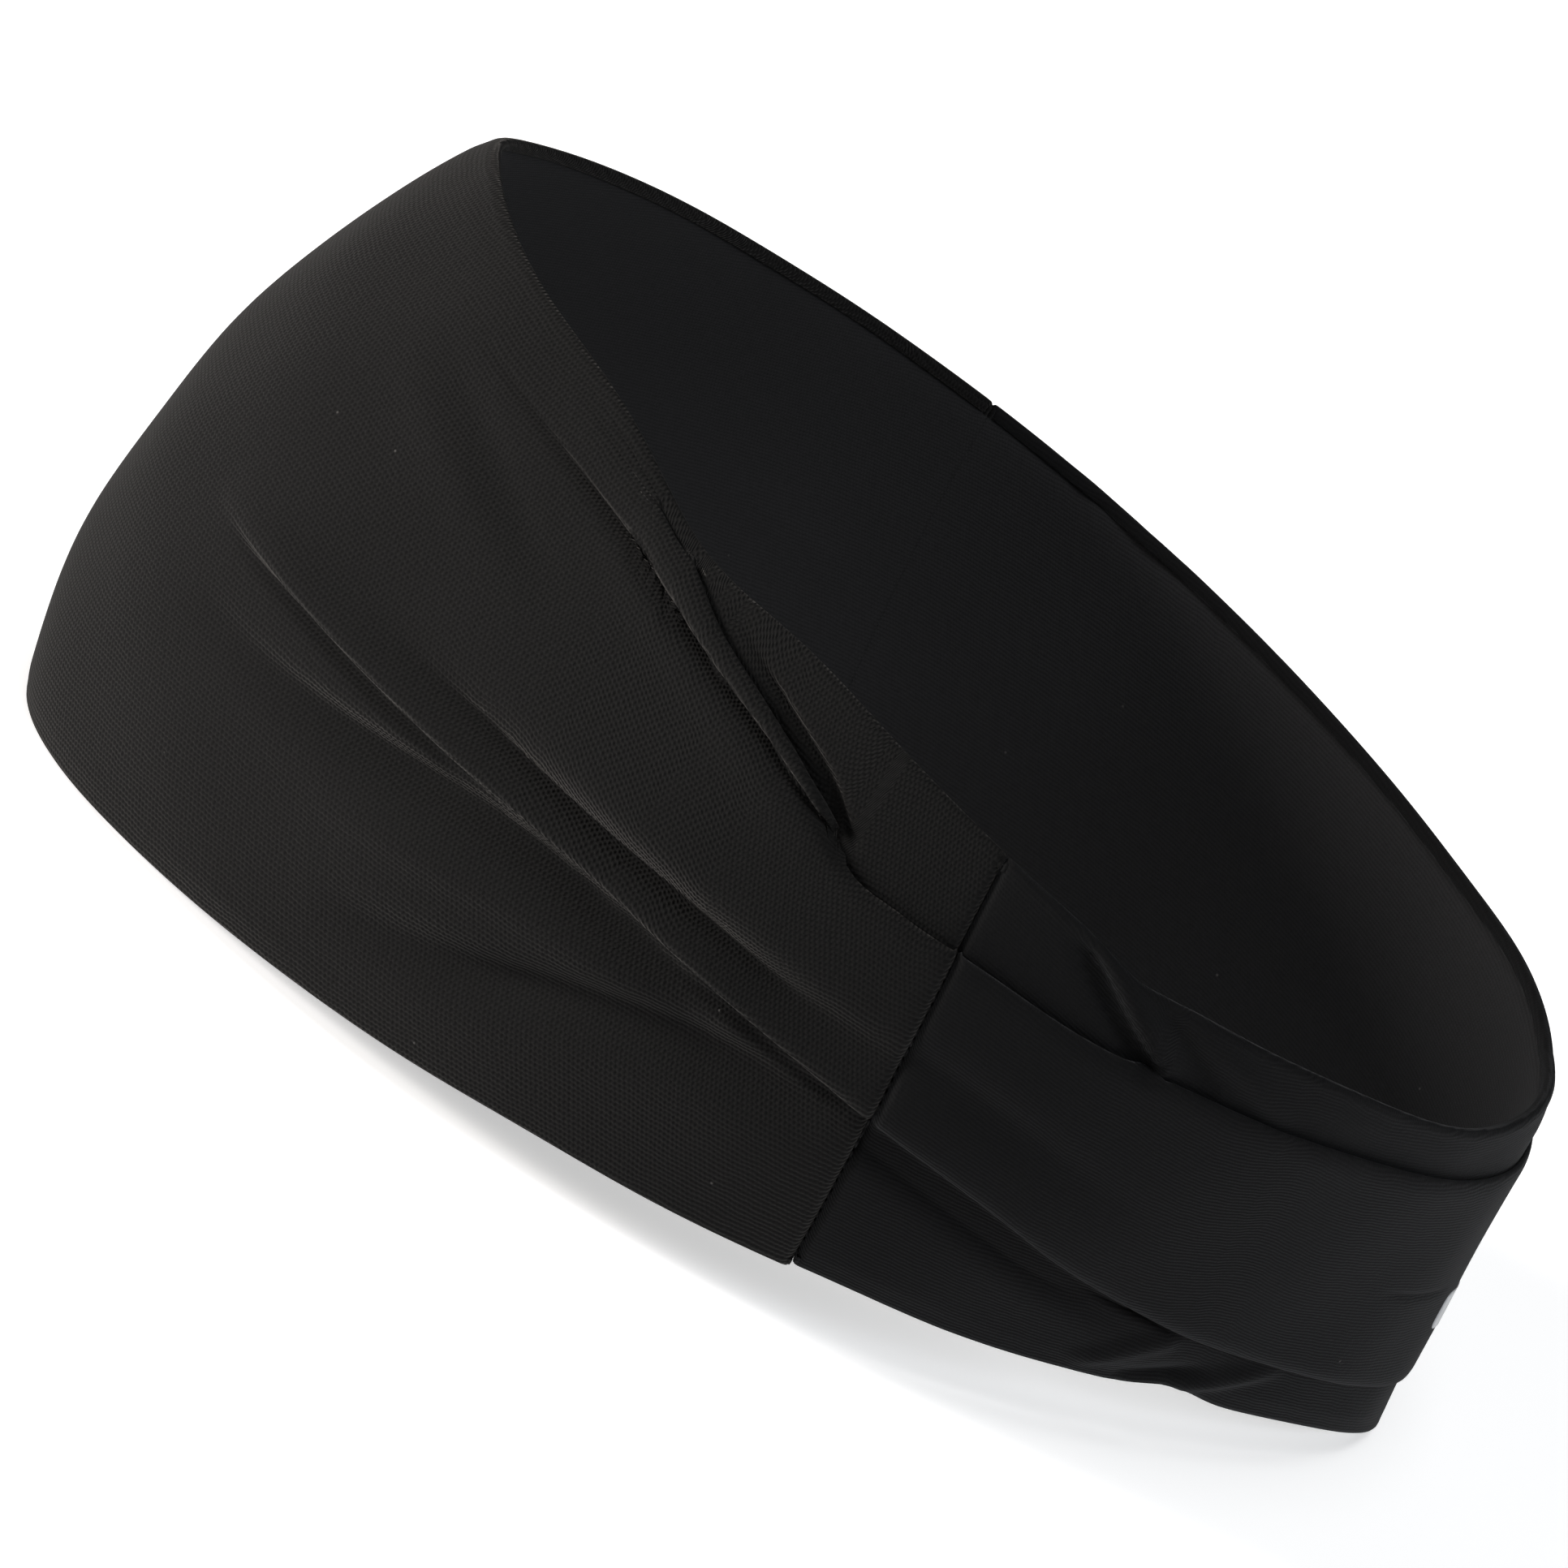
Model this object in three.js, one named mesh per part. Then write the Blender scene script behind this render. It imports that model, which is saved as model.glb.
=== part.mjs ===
// Wide stretch sports headband: a broad front panel and a narrower pleated back panel, each a
// knitted shell with a smooth lining, joined by a cross seam over each ear.
//
// Millimetres. +Z is up, -Y is the forehead, +X is the wearer's left. The band stands on its
// bottom edge, and its origin is the centre of its footprint.
//
// Every point of the cloth is found from an angle round the loop (0 at the forehead, 180 at the
// nape), a height share (0 at the bottom edge, 1 at the top edge) and a distance out from the
// wall's base surface, which is the inner face of the shell.

import * as THREE from 'three';

// ---- driving dimensions -------------------------------------------------------------------

const BOTTOM_LOOP = { length: 193, width: 110, boxy: 0.155 };
const TOP_LOOP = { length: 172, width: 125, egg: 0.215, boxy: 0.08, setBack: 2.8 };
const TOP_HEIGHT = { side: 67.5, tilt: 18, sag: 3.5 };
const EAR_ARCH = { rise: 13.7, roundness: 1.1, rearward: 0.68, soft: 0.1 };
const BULGE = { front: 9.9, back: -0.6, fade: 1.5 };

const PLY = 0.7;
const FIT_GAP = 0.3;
const PLEAT_LIFT = 2 * (PLY + FIT_GAP);
const RIM_DEPTH = 0.9;
const RIM_CHAMFER = 0.5;
const RIM_SHIFT = 0.2;
const THREAD_DIAMETER = 0.4;
const THREAD_SLOT = THREAD_DIAMETER + 2 * FIT_GAP;
const SEAM = { atBottom: 94, atTop: 88 };

const UPPER_STRIP = { height: 8, extra: 4.5, at: 86, spread: 17 };
const LOWER_STRIP = { front: 43, back: 8.5, from: 22, to: 150 };
const PLEAT_RISE = { from: 35, to: 75 };
const NAPE_PRESS = { share: 0.5, from: 135, to: 172 };
const FOLD_RUN = 0.4;
const STRIP_ROWS = { upper: 3, middle: 7, lower: 4 };
const LINING_ROWS = 9;

const MARK = { width: 35, height: 6, thickness: 0.2, aboveEdge: 20, rows: 3 };

const SHELL_COLUMNS = 29;
const LINING_COLUMNS = 25;
const MARK_COLUMNS = 8;
const TURN_STEP = 0.001;
const EDGE_THREAD_STEPS = 30;
const SEAM_THREAD_STEPS = 18;
const THREAD_SIDES = 6;

const FABRIC = { color: 0x232222, roughness: 0.92, metalness: 0 };
const LINING_FABRIC = { color: 0x1e1e20, roughness: 0.88, metalness: 0 };
const THREAD = { color: 0x0e0e0f, roughness: 0.7, metalness: 0 };
const REFLECTIVE = { color: 0xb9bcc0, roughness: 0.35, metalness: 0.2 };

// ---- the wall's base surface --------------------------------------------------------------

const radians = THREE.MathUtils.degToRad;
const { smoothstep, lerp } = THREE.MathUtils;

/** Half the loop's length inside the shell, so that its outer face has the stated length. */
const halfLength = (loop) => loop.length / 2 - PLY;

/** How far round the back an angle is: 0 at the forehead, 1 at the nape. */
const rearShare = (angle) => (1 - Math.cos(angle)) / 2;

/** How far to the side an angle is: 0 at the forehead and the nape, 1 at the ears, with no corner. */
function sideShare(angle) {
  const { soft } = EAR_ARCH;
  return (Math.hypot(Math.sin(angle), soft) - soft) / (Math.hypot(1, soft) - soft);
}

function bottomEdge(angle) {
  const halfWidth = (BOTTOM_LOOP.width / 2) * (1 - BOTTOM_LOOP.boxy * Math.cos(2 * angle));
  const rise = sideShare(angle) ** EAR_ARCH.roundness * rearShare(angle) ** EAR_ARCH.rearward;
  return new THREE.Vector3(
    halfWidth * Math.sin(angle),
    -halfLength(BOTTOM_LOOP) * Math.cos(angle),
    EAR_ARCH.rise * rise,
  );
}

function topEdge(angle) {
  const ahead = Math.cos(angle);
  const oval = 1 - TOP_LOOP.egg * ahead - TOP_LOOP.boxy * Math.cos(2 * angle);
  return new THREE.Vector3(
    (TOP_LOOP.width / 2) * oval * Math.sin(angle),
    TOP_LOOP.setBack - halfLength(TOP_LOOP) * ahead,
    TOP_HEIGHT.side + TOP_HEIGHT.tilt * ahead + TOP_HEIGHT.sag * ahead * ahead,
  );
}

/** The wall's height along the cloth at one angle. */
const wallHeight = (angle) => topEdge(angle).distanceTo(bottomEdge(angle));

/** The level direction out of the wall at one angle. */
function outward(angle) {
  const along = topEdge(angle + TURN_STEP).add(bottomEdge(angle + TURN_STEP));
  along.sub(topEdge(angle - TURN_STEP)).sub(bottomEdge(angle - TURN_STEP));
  return new THREE.Vector3(along.y, -along.x, 0).normalize();
}

/** A point of the cloth, out from the base surface by a distance. */
function wallPoint(angle, share, out) {
  const front = 1 - rearShare(angle);
  const crown = BULGE.back + (BULGE.front - BULGE.back) * front ** BULGE.fade;
  const swell = crown * 4 * share * (1 - share);
  return bottomEdge(angle).lerp(topEdge(angle), share).addScaledVector(outward(angle), swell + out);
}

/** The seam's angle at a height share: it leans forward as it climbs. */
const seamAngle = (share) => radians(lerp(SEAM.atBottom, SEAM.atTop, share));

/** The angle that a distance along the wall turns through, close to the seam. */
const angleOf = (distance) => distance / halfLength(BOTTOM_LOOP);

// ---- where the pleats lie -----------------------------------------------------------------

const degreesFromFront = (angle) => THREE.MathUtils.radToDeg(Math.acos(Math.cos(angle)));

/** Height of the strip between the top edge and the pleat's upper fold. */
function upperStrip(angle) {
  const away = (degreesFromFront(angle) - UPPER_STRIP.at) / UPPER_STRIP.spread;
  return UPPER_STRIP.height + UPPER_STRIP.extra * Math.exp(-away * away);
}

/** Height of the strip between the pleat's lower fold and the bottom edge. */
function lowerStrip(angle) {
  const share = smoothstep(degreesFromFront(angle), LOWER_STRIP.from, LOWER_STRIP.to);
  return lerp(LOWER_STRIP.front, LOWER_STRIP.back, share);
}

/**
 * How far the pleat's outer fold stands out: nothing at the forehead, two plies by the ears, and
 * pressed flatter at the nape.
 */
function pleatLift(angle) {
  const degrees = degreesFromFront(angle);
  const pressed = NAPE_PRESS.share * smoothstep(degrees, NAPE_PRESS.from, NAPE_PRESS.to);
  return PLEAT_LIFT * smoothstep(degrees, PLEAT_RISE.from, PLEAT_RISE.to) * (1 - pressed);
}

// ---- cross sections -----------------------------------------------------------------------

/** Steps from one height to another, both ends included. */
function heights(from, to, count) {
  return Array.from({ length: count }, (_, step) => lerp(from, to, step / (count - 1)));
}

/**
 * The shell's section at one angle: pairs of points [height, out] down the outer and the inner
 * face. Heights are measured from the bottom edge. The rims turn in over the edge threads.
 */
function shellSection(angle) {
  const full = wallHeight(angle);
  const lift = PLY + pleatLift(angle);
  const upperFold = full - upperStrip(angle);
  const lowerFold = lowerStrip(angle);
  const edge = RIM_DEPTH + FIT_GAP;
  const half = FOLD_RUN / 2;
  const outer = [];
  const inner = [];
  const add = (height, out, innerHeight = height, innerOut = 0) => {
    outer.push([height, out]);
    inner.push([innerHeight, innerOut]);
  };
  const back = -(THREAD_SLOT + PLY);
  add(full, RIM_SHIFT, full, back + RIM_CHAMFER);
  add(full - RIM_CHAMFER, PLY, full - RIM_CHAMFER, back);
  add(full - RIM_DEPTH + RIM_SHIFT, PLY, full - RIM_DEPTH, back);
  add(full - edge, PLY, full - RIM_DEPTH, 0);
  heights(full - 2 * edge, upperFold + half, STRIP_ROWS.upper).forEach((height) => add(height, PLY));
  heights(upperFold - half, lowerFold + half, STRIP_ROWS.middle).forEach((height) => add(height, lift));
  heights(lowerFold - half, 2 * edge, STRIP_ROWS.lower).forEach((height) => add(height, PLY));
  add(edge, PLY, RIM_DEPTH, 0);
  add(RIM_DEPTH - RIM_SHIFT, PLY, RIM_DEPTH, back);
  add(RIM_CHAMFER, PLY, RIM_CHAMFER, back);
  add(0, RIM_SHIFT, 0, back + RIM_CHAMFER);
  return { outer, inner };
}

/** The lining's section: a smooth ply inside the shell, between its two turned rims. */
function liningSection(angle) {
  const full = wallHeight(angle);
  const edge = RIM_DEPTH + FIT_GAP;
  const rows = heights(full - edge, edge, LINING_ROWS);
  return {
    outer: rows.map((height) => [height, -THREAD_SLOT]),
    inner: rows.map((height) => [height, -THREAD_SLOT - PLY]),
  };
}

/** The mark's section: a thin film that stands just off the pleat's outer fold. */
function markSection(angle) {
  const foot = PLY + pleatLift(angle) + FIT_GAP;
  const half = MARK.height / 2;
  const rows = heights(MARK.aboveEdge + half, MARK.aboveEdge - half, MARK.rows);
  return {
    outer: rows.map((height) => [height, foot + MARK.thickness]),
    inner: rows.map((height) => [height, foot]),
  };
}

// ---- solids -------------------------------------------------------------------------------

/** Joins rows of indices into the triangles of a strip between two neighbouring lines. */
function stitch(first, second, faces) {
  for (let step = 0; step + 1 < first.length; step += 1) {
    faces.push(first[step], second[step], second[step + 1]);
    faces.push(first[step], second[step + 1], first[step + 1]);
  }
}

/**
 * A closed body swept round the wall through a list of columns. Each column is a nominal angle,
 * whose section it takes, and a function that gives the true angle at a height share.
 */
function sweepWall(columns, sectionAt) {
  const positions = [];
  const outerLines = [];
  const innerLines = [];
  const place = (column, points) => points.map(([height, out]) => {
    const share = height / wallHeight(column.angle);
    positions.push(...wallPoint(column.angleAt(share), share, out).toArray());
    return positions.length / 3 - 1;
  });
  for (const column of columns) {
    const { outer, inner } = sectionAt(column.angle);
    outerLines.push(place(column, outer));
    innerLines.push(place(column, inner));
  }
  const faces = [];
  for (let index = 0; index + 1 < columns.length; index += 1) {
    const next = index + 1;
    const ends = [0, outerLines[index].length - 1];
    stitch(outerLines[index], outerLines[next], faces);
    stitch(innerLines[next], innerLines[index], faces);
    const [top, foot] = ends.map((end) => [
      [outerLines[index][end], innerLines[index][end]],
      [outerLines[next][end], innerLines[next][end]],
    ]);
    stitch(top[1], top[0], faces);
    stitch(foot[0], foot[1], faces);
  }
  stitch(innerLines[0], outerLines[0], faces);
  stitch(outerLines.at(-1), innerLines.at(-1), faces);
  return closedGeometry(positions, faces);
}

/** A geometry whose faces point out, whichever way round its triangles were listed. */
function closedGeometry(positions, faces) {
  const corner = faces.map((index) => new THREE.Vector3().fromArray(positions, index * 3));
  let volume = 0;
  for (let at = 0; at < corner.length; at += 3) {
    volume += corner[at].dot(corner[at + 1].clone().cross(corner[at + 2]));
  }
  const geometry = new THREE.BufferGeometry();
  geometry.setAttribute('position', new THREE.Float32BufferAttribute(positions, 3));
  geometry.setIndex(volume > 0 ? faces : faces.toReversed());
  geometry.computeVertexNormals();
  return geometry;
}

/** Columns across the front panel, from the wearer's right seam to the left one. */
function frontColumns(count, clearance) {
  const reach = (share) => seamAngle(share) - angleOf(clearance);
  return Array.from({ length: count + 1 }, (_, step) => {
    const way = (2 * step) / count - 1;
    return { angle: way * reach(0.5), angleAt: (share) => way * reach(share) };
  });
}

/** Columns across the back panel, from the wearer's left seam to the right one. */
function backColumns(count, clearance) {
  const reach = (share) => Math.PI - seamAngle(share) - angleOf(clearance);
  return Array.from({ length: count + 1 }, (_, step) => {
    const way = (2 * step) / count - 1;
    return { angle: Math.PI + way * reach(0.5), angleAt: (share) => Math.PI + way * reach(share) };
  });
}

/** A round thread along a list of points. */
function threadAlong(points, steps) {
  const corners = Array.from({ length: THREAD_SIDES }, (_, side) => {
    const turn = (2 * Math.PI * side) / THREAD_SIDES;
    return new THREE.Vector2(Math.cos(turn), Math.sin(turn)).multiplyScalar(THREAD_DIAMETER / 2);
  });
  return new THREE.ExtrudeGeometry(new THREE.Shape(corners), {
    steps,
    extrudePath: new THREE.CatmullRomCurve3(points),
    bevelEnabled: false,
  });
}

/** The thread inside a panel's turned rim, along its top or its bottom edge. */
function edgeThread(columns, fromTop) {
  const inset = RIM_DEPTH + FIT_GAP + THREAD_DIAMETER / 2;
  const points = columns.map((column) => {
    const full = wallHeight(column.angle);
    const share = (fromTop ? full - inset : inset) / full;
    return wallPoint(column.angleAt(share), share, -THREAD_SLOT / 2);
  });
  return threadAlong(points, EDGE_THREAD_STEPS);
}

/** The thread in the slot between two shells. It follows the pleat's outer face down the seam. */
function seamThread(side) {
  const { outer } = shellSection(seamAngle(0.5));
  const full = wallHeight(seamAngle(0.5));
  const visible = outer.slice(1, -1);
  const points = visible.map(([height, out]) => {
    const share = height / full;
    return wallPoint(side * seamAngle(share), share, out - THREAD_DIAMETER / 2);
  });
  return threadAlong(points, SEAM_THREAD_STEPS);
}

/** Columns across the mark, centred on the nape. */
function markColumns() {
  const share = MARK.aboveEdge / wallHeight(Math.PI);
  const centre = wallPoint(Math.PI, share, PLY);
  const nearby = wallPoint(Math.PI + TURN_STEP, share, PLY);
  const reach = (MARK.width / 2) * (TURN_STEP / centre.distanceTo(nearby));
  return heights(-reach, reach, MARK_COLUMNS).map((way) => {
    const angle = Math.PI + way;
    return { angle, angleAt: () => angle };
  });
}

// ---- the assembly -------------------------------------------------------------------------

const shellClearance = THREAD_SLOT / 2;
const liningClearance = FIT_GAP / 2;
const threadClearance = THREAD_SLOT;

const pieces = {
  front_shell: [sweepWall(frontColumns(SHELL_COLUMNS, shellClearance), shellSection), FABRIC],
  front_lining: [
    sweepWall(frontColumns(LINING_COLUMNS, liningClearance), liningSection),
    LINING_FABRIC,
  ],
  back_shell: [sweepWall(backColumns(SHELL_COLUMNS, shellClearance), shellSection), FABRIC],
  back_lining: [
    sweepWall(backColumns(LINING_COLUMNS, liningClearance), liningSection),
    LINING_FABRIC,
  ],
  left_seam_thread: [seamThread(1), THREAD],
  right_seam_thread: [seamThread(-1), THREAD],
  front_top_edge_thread: [edgeThread(frontColumns(SHELL_COLUMNS, threadClearance), true), THREAD],
  front_bottom_edge_thread: [
    edgeThread(frontColumns(SHELL_COLUMNS, threadClearance), false),
    THREAD,
  ],
  back_top_edge_thread: [edgeThread(backColumns(SHELL_COLUMNS, threadClearance), true), THREAD],
  back_bottom_edge_thread: [
    edgeThread(backColumns(SHELL_COLUMNS, threadClearance), false),
    THREAD,
  ],
  back_mark: [sweepWall(markColumns(), markSection), REFLECTIVE],
};

const headband = new THREE.Group();
for (const [name, [geometry, finish]] of Object.entries(pieces)) {
  const mesh = new THREE.Mesh(geometry, new THREE.MeshStandardMaterial(finish));
  mesh.name = name;
  headband.add(mesh);
}

const box = new THREE.Box3().setFromObject(headband);
const centre = box.getCenter(new THREE.Vector3());
headband.position.set(-centre.x, -centre.y, -box.min.z);
headband.updateMatrixWorld(true);

export default headband;
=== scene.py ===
"""Wide stretch sports headband: its cloth, seams, threads and mark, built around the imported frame.

The row frame is in metres, with +Z up, -Y at the forehead and +X on the wearer's left. Every place on the
cloth is found from an angle round the loop (0 at the forehead, 180 degrees at the nape), a height up the
cloth from the bottom edge, and a distance out from the wall's base surface. Those heights and distances are
in millimetres, and Cloth.place turns them into the row frame.
"""

import logging
import math
from dataclasses import dataclass, field
from enum import Enum

import bmesh
import bpy
import numpy as np
from mathutils import Matrix, Vector


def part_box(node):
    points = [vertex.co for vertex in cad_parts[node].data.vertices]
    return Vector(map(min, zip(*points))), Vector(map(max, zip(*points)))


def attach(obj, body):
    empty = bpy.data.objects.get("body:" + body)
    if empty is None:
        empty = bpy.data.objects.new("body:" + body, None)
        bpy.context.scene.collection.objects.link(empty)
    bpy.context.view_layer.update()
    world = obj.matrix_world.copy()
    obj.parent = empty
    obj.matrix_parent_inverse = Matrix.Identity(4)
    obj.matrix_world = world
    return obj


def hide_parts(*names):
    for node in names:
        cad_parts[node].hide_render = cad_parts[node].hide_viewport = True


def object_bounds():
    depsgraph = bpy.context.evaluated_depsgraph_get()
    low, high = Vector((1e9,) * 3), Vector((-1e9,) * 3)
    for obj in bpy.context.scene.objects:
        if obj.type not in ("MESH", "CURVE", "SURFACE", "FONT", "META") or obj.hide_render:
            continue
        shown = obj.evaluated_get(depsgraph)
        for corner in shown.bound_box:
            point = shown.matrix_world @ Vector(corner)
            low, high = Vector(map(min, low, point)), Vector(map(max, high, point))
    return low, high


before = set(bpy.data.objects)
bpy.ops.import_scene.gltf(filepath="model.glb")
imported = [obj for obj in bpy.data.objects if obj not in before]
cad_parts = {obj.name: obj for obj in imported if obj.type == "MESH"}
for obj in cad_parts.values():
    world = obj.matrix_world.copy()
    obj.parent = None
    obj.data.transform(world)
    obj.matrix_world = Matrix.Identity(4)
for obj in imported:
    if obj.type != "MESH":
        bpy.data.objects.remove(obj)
CAD_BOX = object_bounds()

Array = np.ndarray
Knots = tuple[tuple[float, float], ...]
Colour = tuple[float, float, float]

MM = 0.001
BODY = "root"
HALF_TURN = 180.0

log = logging.getLogger("headband")


# ---- small helpers --------------------------------------------------------------------------------------


def smoothstep(at: Array, start: float, end: float) -> Array:
    """A smooth rise from 0 at start to 1 at end.

    Args:
        at: Where to read it.
        start: Where it starts to rise.
        end: Where it is complete.

    Returns:
        The share risen, the same shape as at.
    """
    share = np.clip((np.asarray(at, float) - start) / (end - start), 0.0, 1.0)
    return share * share * (3.0 - 2.0 * share)


def smooth_curve(at: Array, knots: Knots) -> Array:
    """A smooth line through a few points, level beyond its ends.

    Args:
        at: Where to read it.
        knots: The points (place, value), in rising order of place.

    Returns:
        The line's value, the same shape as at.
    """
    places, values = (np.array(column, float) for column in zip(*knots))
    slopes = np.gradient(values, places)
    slopes[[0, -1]] = 0.0
    at = np.clip(np.asarray(at, float), places[0], places[-1])
    span = np.clip(np.searchsorted(places, at, side="right") - 1, 0, len(places) - 2)
    width = places[span + 1] - places[span]
    t = (at - places[span]) / width
    rise = values[span + 1] - values[span]
    first = slopes[span] * width
    last = slopes[span + 1] * width
    return values[span] + t * first + t * t * (3 * rise - 2 * first - last) + t**3 * (first + last - 2 * rise)


def bell(at: Array, centre: float, spread: float) -> Array:
    """A bell curve of height 1 about its centre."""
    return np.exp(-(((at - centre) / spread) ** 2))


def degrees_from_front(angle: Array) -> Array:
    """How far round from the forehead an angle is, 0 to 180, on either side."""
    return np.degrees(np.arccos(np.clip(np.cos(angle), -1.0, 1.0)))


# ---- the wall and its folds -----------------------------------------------------------------------------


class Edge(Enum):
    """A long edge of the band, which distances down or up the cloth are measured from."""

    TOP = "top"
    BOTTOM = "bottom"


@dataclass(frozen=True)
class Wall:
    """The wall's base surface, the inner face of the shell, in millimetres."""

    bottom_length: float = 193.0
    bottom_width: float = 110.0
    bottom_boxy: float = 0.155
    top_length: float = 172.0
    top_width: float = 125.0
    top_egg: float = 0.215
    top_boxy: float = 0.08
    top_set_back: float = 2.8
    side_height: float = 67.5
    tilt: float = 18.0
    sag: float = 3.5
    ear_rise: float = 13.7
    ear_roundness: float = 1.1
    ear_rearward: float = 0.68
    ear_soft: float = 0.1
    front_bulge: float = 9.9
    back_bulge: float = -0.6
    bulge_fade: float = 1.5
    ply: float = 0.7
    set_back: float = 0.0

    @classmethod
    def standing_in(cls, box: tuple[Vector, Vector]) -> "Wall":
        """The wall with its forehead where the frame's front shell has it.

        Args:
            box: The front shell's lowest and highest corner, in metres.

        Returns:
            The wall, moved along Y.
        """
        loose = cls()
        shares = np.linspace(0.0, 1.0, 101)
        forehead = loose.points(np.zeros_like(shares), shares, np.full_like(shares, loose.ply))
        return cls(set_back=box[0].y / MM - forehead[:, 1].min())

    def rear_share(self, angle: Array) -> Array:
        """How far round the back an angle is: 0 at the forehead, 1 at the nape."""
        return (1.0 - np.cos(angle)) / 2.0

    def bottom_edge(self, angle: Array) -> Array:
        """Points of the bottom edge at each angle."""
        side = np.sin(angle)
        width = self.bottom_width / 2 * (1.0 - self.bottom_boxy * np.cos(2 * angle))
        sideways = np.hypot(side, self.ear_soft) - self.ear_soft
        sideways = sideways / (math.hypot(1.0, self.ear_soft) - self.ear_soft)
        rise = sideways**self.ear_roundness * self.rear_share(angle) ** self.ear_rearward
        length = self.bottom_length / 2 - self.ply
        return np.stack([width * side, self.set_back - length * np.cos(angle), self.ear_rise * rise], -1)

    def top_edge(self, angle: Array) -> Array:
        """Points of the top edge at each angle."""
        ahead = np.cos(angle)
        oval = 1.0 - self.top_egg * ahead - self.top_boxy * np.cos(2 * angle)
        length = self.top_length / 2 - self.ply
        across = self.top_width / 2 * oval * np.sin(angle)
        along = self.set_back + self.top_set_back - length * ahead
        return np.stack([across, along, self.side_height + self.tilt * ahead + self.sag * ahead**2], -1)

    def height(self, angle: Array) -> Array:
        """The wall's height along the cloth at each angle."""
        return np.linalg.norm(self.top_edge(angle) - self.bottom_edge(angle), axis=-1)

    def outward(self, angle: Array) -> Array:
        """The level direction out of the wall at each angle."""
        step = 0.001
        after = self.top_edge(angle + step) + self.bottom_edge(angle + step)
        along = after - self.top_edge(angle - step) - self.bottom_edge(angle - step)
        level = np.stack([along[..., 1], -along[..., 0], np.zeros_like(along[..., 0])], -1)
        return level / np.linalg.norm(level, axis=-1, keepdims=True)

    def points(self, angle: Array, share: Array, out: Array) -> Array:
        """Points of the cloth.

        Args:
            angle: Angles round the loop, in radians.
            share: Heights as a share of the wall's height, 0 at the bottom edge.
            out: Distances out from the base surface.

        Returns:
            The points, in millimetres.
        """
        front = 1.0 - self.rear_share(angle)
        crown = self.back_bulge + (self.front_bulge - self.back_bulge) * front**self.bulge_fade
        away = crown * 4.0 * share * (1.0 - share) + out
        lower = self.bottom_edge(angle)
        level = lower + (self.top_edge(angle) - lower) * share[..., None]
        return level + self.outward(angle) * away[..., None]


@dataclass(frozen=True)
class Crease:
    """A ridge or a valley along a line on the cloth.

    The line is a few points of (degrees from the forehead, millimetres from an edge). The lift is how far
    it stands out, below zero for a valley. Its two sides may differ in width, and it grows and dies away
    over a share of its length.
    """

    edge: Edge
    line: Knots
    lift: float
    above: float
    below: float
    grow: float = 0.35
    die: float = 0.35

    MM_PER_DEGREE = 1.42
    STEPS = 18
    BROAD = 1.5

    @property
    def broad(self) -> bool:
        """Whether it is wide enough for the lining behind to follow it."""
        return min(self.above, self.below) >= self.BROAD

    def lift_at(self, degrees: Array, height: Array, full: Array) -> Array:
        """How far the crease lifts the cloth at each place.

        Args:
            degrees: Degrees from the forehead.
            height: Height above the bottom edge.
            full: The wall's height there.

        Returns:
            The lift, the same shape as degrees.
        """
        knots = np.array(self.line, float)
        ways = np.linspace(0.0, len(knots) - 1.0, self.STEPS + 1)
        turn = smooth_curve(ways, tuple(enumerate(knots[:, 0])))
        away = smooth_curve(ways, tuple(enumerate(knots[:, 1])))
        down = full - height if self.edge is Edge.TOP else height
        upward = -1.0 if self.edge is Edge.TOP else 1.0
        x = degrees * self.MM_PER_DEGREE
        line_x = turn * self.MM_PER_DEGREE
        nearest = np.full(x.shape, np.inf)
        along = np.zeros(x.shape)
        side = np.zeros(x.shape)
        for step in range(self.STEPS):
            run = np.array([line_x[step + 1] - line_x[step], away[step + 1] - away[step]])
            length_squared = max(float(run @ run), 1e-9)
            dx = x - line_x[step]
            dy = down - away[step]
            t = np.clip((dx * run[0] + dy * run[1]) / length_squared, 0.0, 1.0)
            gap_x = dx - t * run[0]
            gap_y = dy - t * run[1]
            gap = np.hypot(gap_x, gap_y)
            closer = gap < nearest
            nearest = np.where(closer, gap, nearest)
            along = np.where(closer, (step + t) / self.STEPS, along)
            side = np.where(closer, gap_y * upward, side)
        width = np.where(side > 0, self.above, self.below)
        ease = smoothstep(along, 0.0, self.grow) * smoothstep(1.0 - along, 0.0, self.die)
        return self.lift * ease * np.exp(-((nearest / width) ** 2))


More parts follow.
